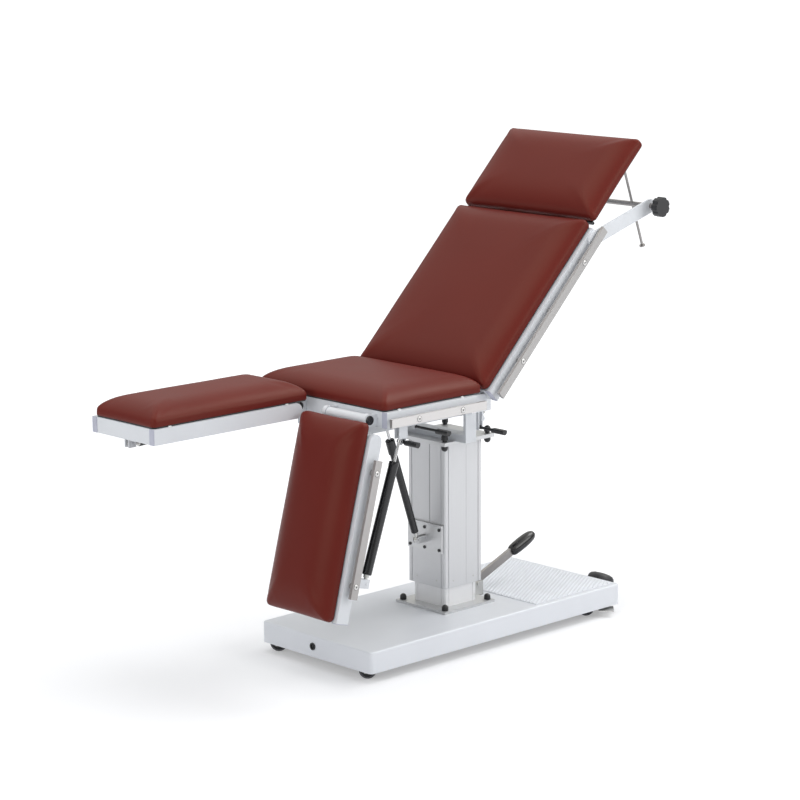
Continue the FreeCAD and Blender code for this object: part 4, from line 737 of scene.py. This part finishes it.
# %% Tree that sets copies on points
def setting_tree():
    tree = bpy.data.node_groups.new("set_on_points", "GeometryNodeTree")
    face = tree.interface
    face.new_socket("Geometry", in_out="INPUT", socket_type="NodeSocketGeometry")
    face.new_socket("Geometry", in_out="OUTPUT", socket_type="NodeSocketGeometry")
    face.new_socket("Pattern", in_out="INPUT", socket_type="NodeSocketObject")
    face.new_socket("Size", in_out="INPUT", socket_type="NodeSocketFloat")
    face.new_socket("Finish", in_out="INPUT", socket_type="NodeSocketMaterial")
    enter = tree.nodes.new("NodeGroupInput")
    leave = tree.nodes.new("NodeGroupOutput")
    info = tree.nodes.new("GeometryNodeObjectInfo")
    way = tree.nodes.new("GeometryNodeInputNamedAttribute")
    way.data_type = "FLOAT_VECTOR"
    way.inputs["Name"].default_value = "turn"
    turn = tree.nodes.new("FunctionNodeEulerToRotation")
    stretch = tree.nodes.new("GeometryNodeInputNamedAttribute")
    stretch.data_type = "FLOAT_VECTOR"
    stretch.inputs["Name"].default_value = "stretch"
    sized = tree.nodes.new("ShaderNodeVectorMath")
    sized.operation = "SCALE"
    copies = tree.nodes.new("GeometryNodeInstanceOnPoints")
    real = tree.nodes.new("GeometryNodeRealizeInstances")
    dress = tree.nodes.new("GeometryNodeSetMaterial")
    link = tree.links.new
    link(enter.outputs["Geometry"], copies.inputs["Points"])
    link(enter.outputs["Pattern"], info.inputs["Object"])
    link(info.outputs["Geometry"], copies.inputs["Instance"])
    link(way.outputs["Attribute"], turn.inputs["Euler"])
    link(turn.outputs["Rotation"], copies.inputs["Rotation"])
    link(stretch.outputs["Attribute"], sized.inputs[0])
    link(enter.outputs["Size"], sized.inputs["Scale"])
    link(sized.outputs["Vector"], copies.inputs["Scale"])
    link(copies.outputs["Instances"], real.inputs["Geometry"])
    link(real.outputs["Geometry"], dress.inputs["Geometry"])
    link(enter.outputs["Finish"], dress.inputs["Material"])
    link(dress.outputs["Geometry"], leave.inputs["Geometry"])
    return tree


SET_ON_POINTS = setting_tree()


def set_copies(name, body, pattern, size, used, marks, stretches=None):
    """marks are (place, angles) pairs; the copies end up in one plain mesh."""
    data = bpy.data.meshes.new(name + "_marks")
    data.from_pydata([tuple(place) for place, _ in marks], [], [])
    way = data.attributes.new("turn", "FLOAT_VECTOR", "POINT")
    wide = data.attributes.new("stretch", "FLOAT_VECTOR", "POINT")
    for index, (_, angles) in enumerate(marks):
        way.data[index].vector = angles
        wide.data[index].vector = stretches[index] if stretches else (1, 1, 1)
    obj = into_scene(name, data)
    modifier = obj.modifiers.new("copies", "NODES")
    modifier.node_group = SET_ON_POINTS
    sockets = {s.name: s.identifier for s in SET_ON_POINTS.interface.items_tree
               if s.in_out == "INPUT"}
    modifier[sockets["Pattern"]] = pattern
    modifier[sockets["Size"]] = size
    modifier[sockets["Finish"]] = used
    baked = bpy.data.meshes.new_from_object(
        obj.evaluated_get(bpy.context.evaluated_depsgraph_get()))
    obj.modifiers.remove(modifier)
    obj.data = baked
    baked.name = name
    if body:
        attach(obj, body)
    print(f"{name}: {len(marks)} copies, {len(baked.polygons)} faces")
    return obj


# %% Screws on every rail
screw = head_of_screw()
# The shade pattern is painted shade: a black disc a little wider than a screw head, raised in
# the middle to fill the socket.
shade = lathe("screw_shade_pattern", [(0, 0.12), (0.34, 0.12), (0.40, 0.02), (1.13, 0.02),
                                      (1.13, -0.12), (0, -0.12)], 24,
              Matrix.Scale(1 / MM, 4), [])
shade.hide_render = True


def on_section(section, along, across, off):
    return lay(section, along, across, off).translation


RAIL_FACE = 300.1
RAIL_OFF, SEAT_RAIL_OFF = -6, -28.5
RAIL_SCREWS = {
    "seat": [("seat", x, side * RAIL_FACE, SEAT_RAIL_OFF)
             for x in (-396, -223) for side in (-1, 1)],
    "back": [("back", s, side * RAIL_FACE, RAIL_OFF) for s in (151, 520) for side in (-1, 1)],
    "leg_near": [("leg_near", u, -RAIL_FACE, RAIL_OFF) for u in (141, 461)],
    "leg_far": [("leg_far", u, RAIL_FACE, RAIL_OFF) for u in (141, 461)],
}
SCREW_RADIUS = 8 * MM
for body, places in RAIL_SCREWS.items():
    marks = [(on_section(*mark), (math.copysign(math.pi / 2, -mark[2]), 0, 0))
             for mark in places]
    set_copies("rail_screws_" + body, body, screw, SCREW_RADIUS, screw_steel,
               marks)
    set_copies("rail_screw_shades_" + body, body, shade, SCREW_RADIUS,
               black_plastic, marks)

# %% Small screws along the lower edge of the lifting profile
PROFILE_FACE = 78.1
SKIRT_HEIGHT = 182
quarter = math.pi / 2
skirt = [(at(way * PROFILE_FACE, y, SKIRT_HEIGHT), (0, way * quarter, 0))
         for way in (-1, 1) for y in (-42, 42)]
skirt += [(at(x, way * PROFILE_FACE, SKIRT_HEIGHT), (-way * quarter, 0, 0))
          for way in (-1, 1) for x in (-42, 42)]
set_copies("column_skirt_screws", "lift", screw, 2.6 * MM, zinc, skirt)

# %% [markdown]
# ## Caps, tabs and seams
# The side members are box sections, so each open end is closed by a moulded cap. The
# hinge barrels end in black caps and white tabs hold the cushions. A black strip in the
# gap between back and head is painted shade, and the dark lines on the column's seams
# are painted shade too. They are small blocks and discs: a bevel on every edge catches
# a line of light and keeps them from looking like paper.


# %% Bevelled blocks
def blocks(name, body, used, items, bevel=1.0):
    """One piece from (matrix, (length, width, height)) boxes, each with bevelled edges."""
    mesh = bmesh.new()
    for place, sizes in items:
        made = bmesh.ops.create_cube(mesh, size=1)["verts"]
        bmesh.ops.transform(mesh, matrix=Matrix.Diagonal((*[n * MM for n in sizes], 1)),
                            verts=made)
        edges = list({edge for vert in made for edge in vert.link_edges})
        result = bmesh.ops.bevel(mesh, geom=edges, offset=bevel * MM, segments=2,
                                 affect="EDGES", profile=0.5)
        whole = set(result["verts"])
        for vert in result["verts"]:
            whole.update(other for face in vert.link_faces for other in face.verts)
        bmesh.ops.transform(mesh, matrix=place, verts=list(whole))
    bmesh.ops.recalc_face_normals(mesh, faces=mesh.faces)
    data = mesh_data(name, mesh)
    data.materials.append(used)
    obj = into_scene(name, data)
    if body:
        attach(obj, body)
    print(f"{name}: {len(items)} blocks, {len(data.polygons)} faces")
    return obj


# %% Caps on the side members
CAP = (2.4, 20, 45)
MEMBER = 268
for body, side in (("leg_near", -1), ("leg_far", 1)):
    blocks("end_caps_" + body, body, cap_plastic,
           [(lay(body, 571, side * y, 0), CAP) for y in (15, MEMBER)])
blocks("end_caps_seat", "seat", cap_plastic,
       [(lay("seat", -501, side * MEMBER, -22.5), CAP) for side in (-1, 1)])
blocks("end_caps_back", "back", cap_plastic,
       [(lay("back", 14, side * MEMBER, 0), CAP) for side in (-1, 1)])
# A black strip in the gap between back and head cushions: painted shade where the gap shows
# only shadow.
blocks("head_joint_strip", "head", black_plastic,
       [(lay("back", 654, 0, 11), (8, 516, 11))])

# %% Nylon distance pieces under the cushions
TAB = (9, 4.5, 4)
blocks("tabs_seat", "seat", white_nylon,
       [(lay("seat", x, side * 271, 1.5), TAB) for x in (-447, -198) for side in (-1, 1)])
for body, side in (("leg_near", -1), ("leg_far", 1)):
    blocks("tabs_" + body, body, white_nylon,
           [(lay(body, u, side * 5.5, 24), TAB) for u in (92, 515)])

# %% Seams of the column profile, painted as shade lines: dark on the shaded face, faint on the lit face
SEAM_FACE = -77.9
blocks("column_seams", "lift", seam_shade_on_dark_face,
       [(Matrix.Translation(at(SEAM_FACE, -14, 478)), (0.8, 1.8, 240))], 0.1)
blocks("column_faint_seams", "lift", seam_shade_on_lit_face,
       [(Matrix.Translation(at(12, SEAM_FACE, 383)), (1.0, 0.8, 436))], 0.1)

# %% Caps on the hinge barrels
CAP_OUTLINE = [(0, 5.2), (5, 5.2), (6, 4.4), (10.5, 4.4), (12.2, 4.8), (13, 3.8), (13.4, 0),
               (0, 0)]
BUSH_OUTLINE = [(0, 10), (9, 10), (11.5, 8.5), (12, 0), (0, 0)]
for side, name in ((-1, "near"), (1, "far")):
    for part, y, way, outline in (("outer", 237, side, CAP_OUTLINE),
                                  ("inner", 60, -side, BUSH_OUTLINE)):
        place = facing(at(LEG_HINGE[0], side * y, LEG_HINGE[1]), (0, way, 0))
        cap = lathe(f"hinge_cap_{part}_{name}", outline, 32, place, [black_gloss])
        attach(cap, "seat")
print("hinge caps ready")

# %% [markdown]
# ## The foot mat
# The vinyl mat has half-round ribs that run askew, so a shoe finds a hold whichever way
# it pushes. One short rib is modelled and the same tree repeats it, stretched to the
# length that its line has between the edges of the mat.

# %% One rib
ARC = 9


def bar_pattern(half_width, rise):
    """A half-round bar, one unit long in X, closed at both ends."""
    mesh = bmesh.new()
    rings = []
    for x, share in ((-0.5, 0.55), (-0.495, 0.9), (-0.48, 1), (0.48, 1), (0.495, 0.9),
                     (0.5, 0.55)):
        rings.append([mesh.verts.new((x, math.cos(t) * share * half_width,
                                      math.sin(t) * share * rise))
                      for t in (math.pi * n / (ARC - 1) for n in range(ARC))])
    for lower, upper in zip(rings, rings[1:]):
        for n in range(ARC):
            after = (n + 1) % ARC
            mesh.faces.new((lower[n], lower[after], upper[after], upper[n]))
    mesh.faces.new(rings[0])
    mesh.faces.new(rings[-1])
    bmesh.ops.recalc_face_normals(mesh, faces=mesh.faces)
    for face in mesh.faces:
        face.smooth = True
    data = mesh_data("mat_rib", mesh)
    data.set_sharp_from_angle(angle=math.radians(50))
    obj = into_scene("mat_rib_pattern", data)
    obj.hide_render = True
    return obj


def joined(name, parts, used):
    """Several objects made into one piece."""
    mesh = bmesh.new()
    for part in parts:
        mesh.from_mesh(part.data)
        bpy.data.objects.remove(part)
    data = mesh_data(name, mesh)
    for finish_used in used:
        data.materials.append(finish_used)
    data.set_sharp_from_angle(angle=math.radians(35))
    return into_scene(name, data)


# %% Lay the ribs on the mat
rib = bar_pattern(2.6, 2.0)
mat_low, mat_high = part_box("tread_mat")
SHEET = 2.2 * MM
RIB_PITCH = 11.5 * MM
RIB_MARGIN = 4 * MM
RIB_SHORTEST = 14 * MM
lean = math.radians(30)
run = Vector((math.cos(lean), math.sin(lean), 0))
mat_middle = Vector(((mat_low[0] + mat_high[0]) / 2, (mat_low[1] + mat_high[1]) / 2,
                     mat_low[2] + SHEET - 0.3 * MM))
marks = []
lengths = []
for number in range(-40, 41):
    foot = mat_middle + Vector((-run.y, run.x, 0)) * number * RIB_PITCH
    crossings = [sorted(((mat_low[axis] + RIB_MARGIN - foot[axis]) / run[axis],
                         (mat_high[axis] - RIB_MARGIN - foot[axis]) / run[axis]))
                 for axis in (0, 1)]
    first = max(pair[0] for pair in crossings)
    last = min(pair[1] for pair in crossings)
    if last - first > RIB_SHORTEST:
        marks.append((foot + run * (first + last) / 2, (0, 0, lean)))
        lengths.append(((last - first) / MM, 1, 1))
ribs = set_copies("mat_ribs", None, rib, MM, mat_rubber, marks, lengths)
sheet_size = [(high - low) / MM for low, high in zip(mat_low, mat_high)]
sheet_middle = Matrix.Translation((mat_middle.x, mat_middle.y, mat_low[2] + SHEET / 2))
sheet = blocks("mat_sheet", None, mat_rubber,
               [(sheet_middle, (sheet_size[0], sheet_size[1], SHEET / MM))], 0.8)
mat = joined("foot_mat", [sheet, ribs], [mat_rubber])
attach(mat, "base")
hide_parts("tread_mat")

# %% [markdown]
# ## Gas springs
# A gas spring is a black tube, a ground rod that slides in it, and a plated eye at each
# end. Tube and rod are turned shapes, and the eye is a ring turned about the pivot pin.

# %% Spring parts
EYE = [(4.2, -5), (8.4, -5), (9.2, -4.2), (9.2, 4.2), (8.4, 5), (4.2, 5), (4.2, -5)]


def spring_eye(middle):
    return lathe("eye", EYE, 28, facing(middle, (0, 1, 0)), [], lambda r, h: 1)


def spring(family, side, start, end, tube, cap, length, rod_length):
    """A tube from the start pivot and a rod from the end pivot, on one line.

    The tube has a radius; its cap at the rod's end has a radius and a length.
    """
    name = family + side
    body = family + "_spring"
    place = facing(start, end - start)
    far = (end - start).length / MM
    outline = [(0, 8), (5.2, 8), (5.2, 17), (8.2, 17.5), (8.2, 25), (tube - 1.5, 26),
               (tube, 28), (tube, length - cap[1]), (cap[0], length - cap[1] + 1.5),
               (cap[0], length - 1.5), (cap[0] - 1.5, length), (5.2, length),
               (5.2, length - 8), (0, length - 8)]
    barrel = lathe("barrel", outline, 36, place, [], lambda r, h: 1 if h < 25.6 else 0)
    piece = joined(f"gas_spring_{name}", [barrel, spring_eye(start)], [black_gloss, zinc])
    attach(piece, body + side)
    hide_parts(body + "_tube" + side)
    outline = [(0, far - rod_length), (4.5, far - rod_length), (4.5, far - 26),
               (7.6, far - 25), (7.6, far - 17), (5, far - 16), (5, far - 7), (0, far - 7)]
    shaft = lathe("shaft", outline, 24, place, [], lambda r, h: 0)
    piece = joined(f"piston_{name}", [shaft, spring_eye(end)], [bright_rod, zinc])
    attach(piece, body + "_piston" + side)
    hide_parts(body + "_rod" + side)
    print(f"{name} spring: {far:.0f} mm between the pivots")


# %% Four springs
spring("tilt", "", at(-118, 0, 308), at(-254, 0, 706), 11, (14, 46), 340, 200)
spring("back", "", at(40, -110, 672), on_section("back", 400, -110, -44), 9.5, (10.5, 12),
       214, 230)
for end, across in (("_near", -262), ("_far", 262)):
    spring("leg", end, on_section("leg" + end, 453, across, -72), at(-432, across, 718),
           14, (14.6, 14), 352, 252)

# %% [markdown]
# ## Pedals underfoot
# The pump lever ends in a long moulded grip and the lowering pedal in a domed tread.
# Both are turned outlines: the grip lies along its lever, and the tread leans outward by
# the same angle. A short arm under the tread carries it.

# %% Grip and tread
slope = math.radians(22)
PEDAL_SIDE, PEDAL_HEIGHT = -112, 62
grip = lathe("pump_grip", [(0, 176), (11, 177), (15.5, 181), (18, 189), (19, 204),
                           (19.4, 232), (18.6, 254), (16, 272), (11, 283), (5, 287.5),
                           (0, 288)], 40,
             facing(at(122, 0, 130), (math.cos(slope), 0, math.sin(slope))), [black_gloss])
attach(grip, "pump_pedal")
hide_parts("pump_pedal_grip")
tread = lathe("tread", [(0, 0), (38, 0), (41, 2), (42, 6), (42, 15), (40, 22), (34, 28),
                        (24, 31.5), (10, 33), (0, 33.2)], 48,
              facing(at(574, PEDAL_SIDE, PEDAL_HEIGHT),
                     (math.sin(slope), 0, math.cos(slope))), [])
arm = blocks("tread_arm", None, black_rubber,
             [(Matrix.Translation(at(539, PEDAL_SIDE, PEDAL_HEIGHT)), (82, 16, 12))], 1.5)
pedal = joined("lowering_tread", [tread, arm], [black_rubber])
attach(pedal, "lowering_pedal")
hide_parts("lowering_pedal")
print("pedals ready")

# %% Close up
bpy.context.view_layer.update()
for pattern in (screw, shade, rib):
    bpy.data.objects.remove(pattern)
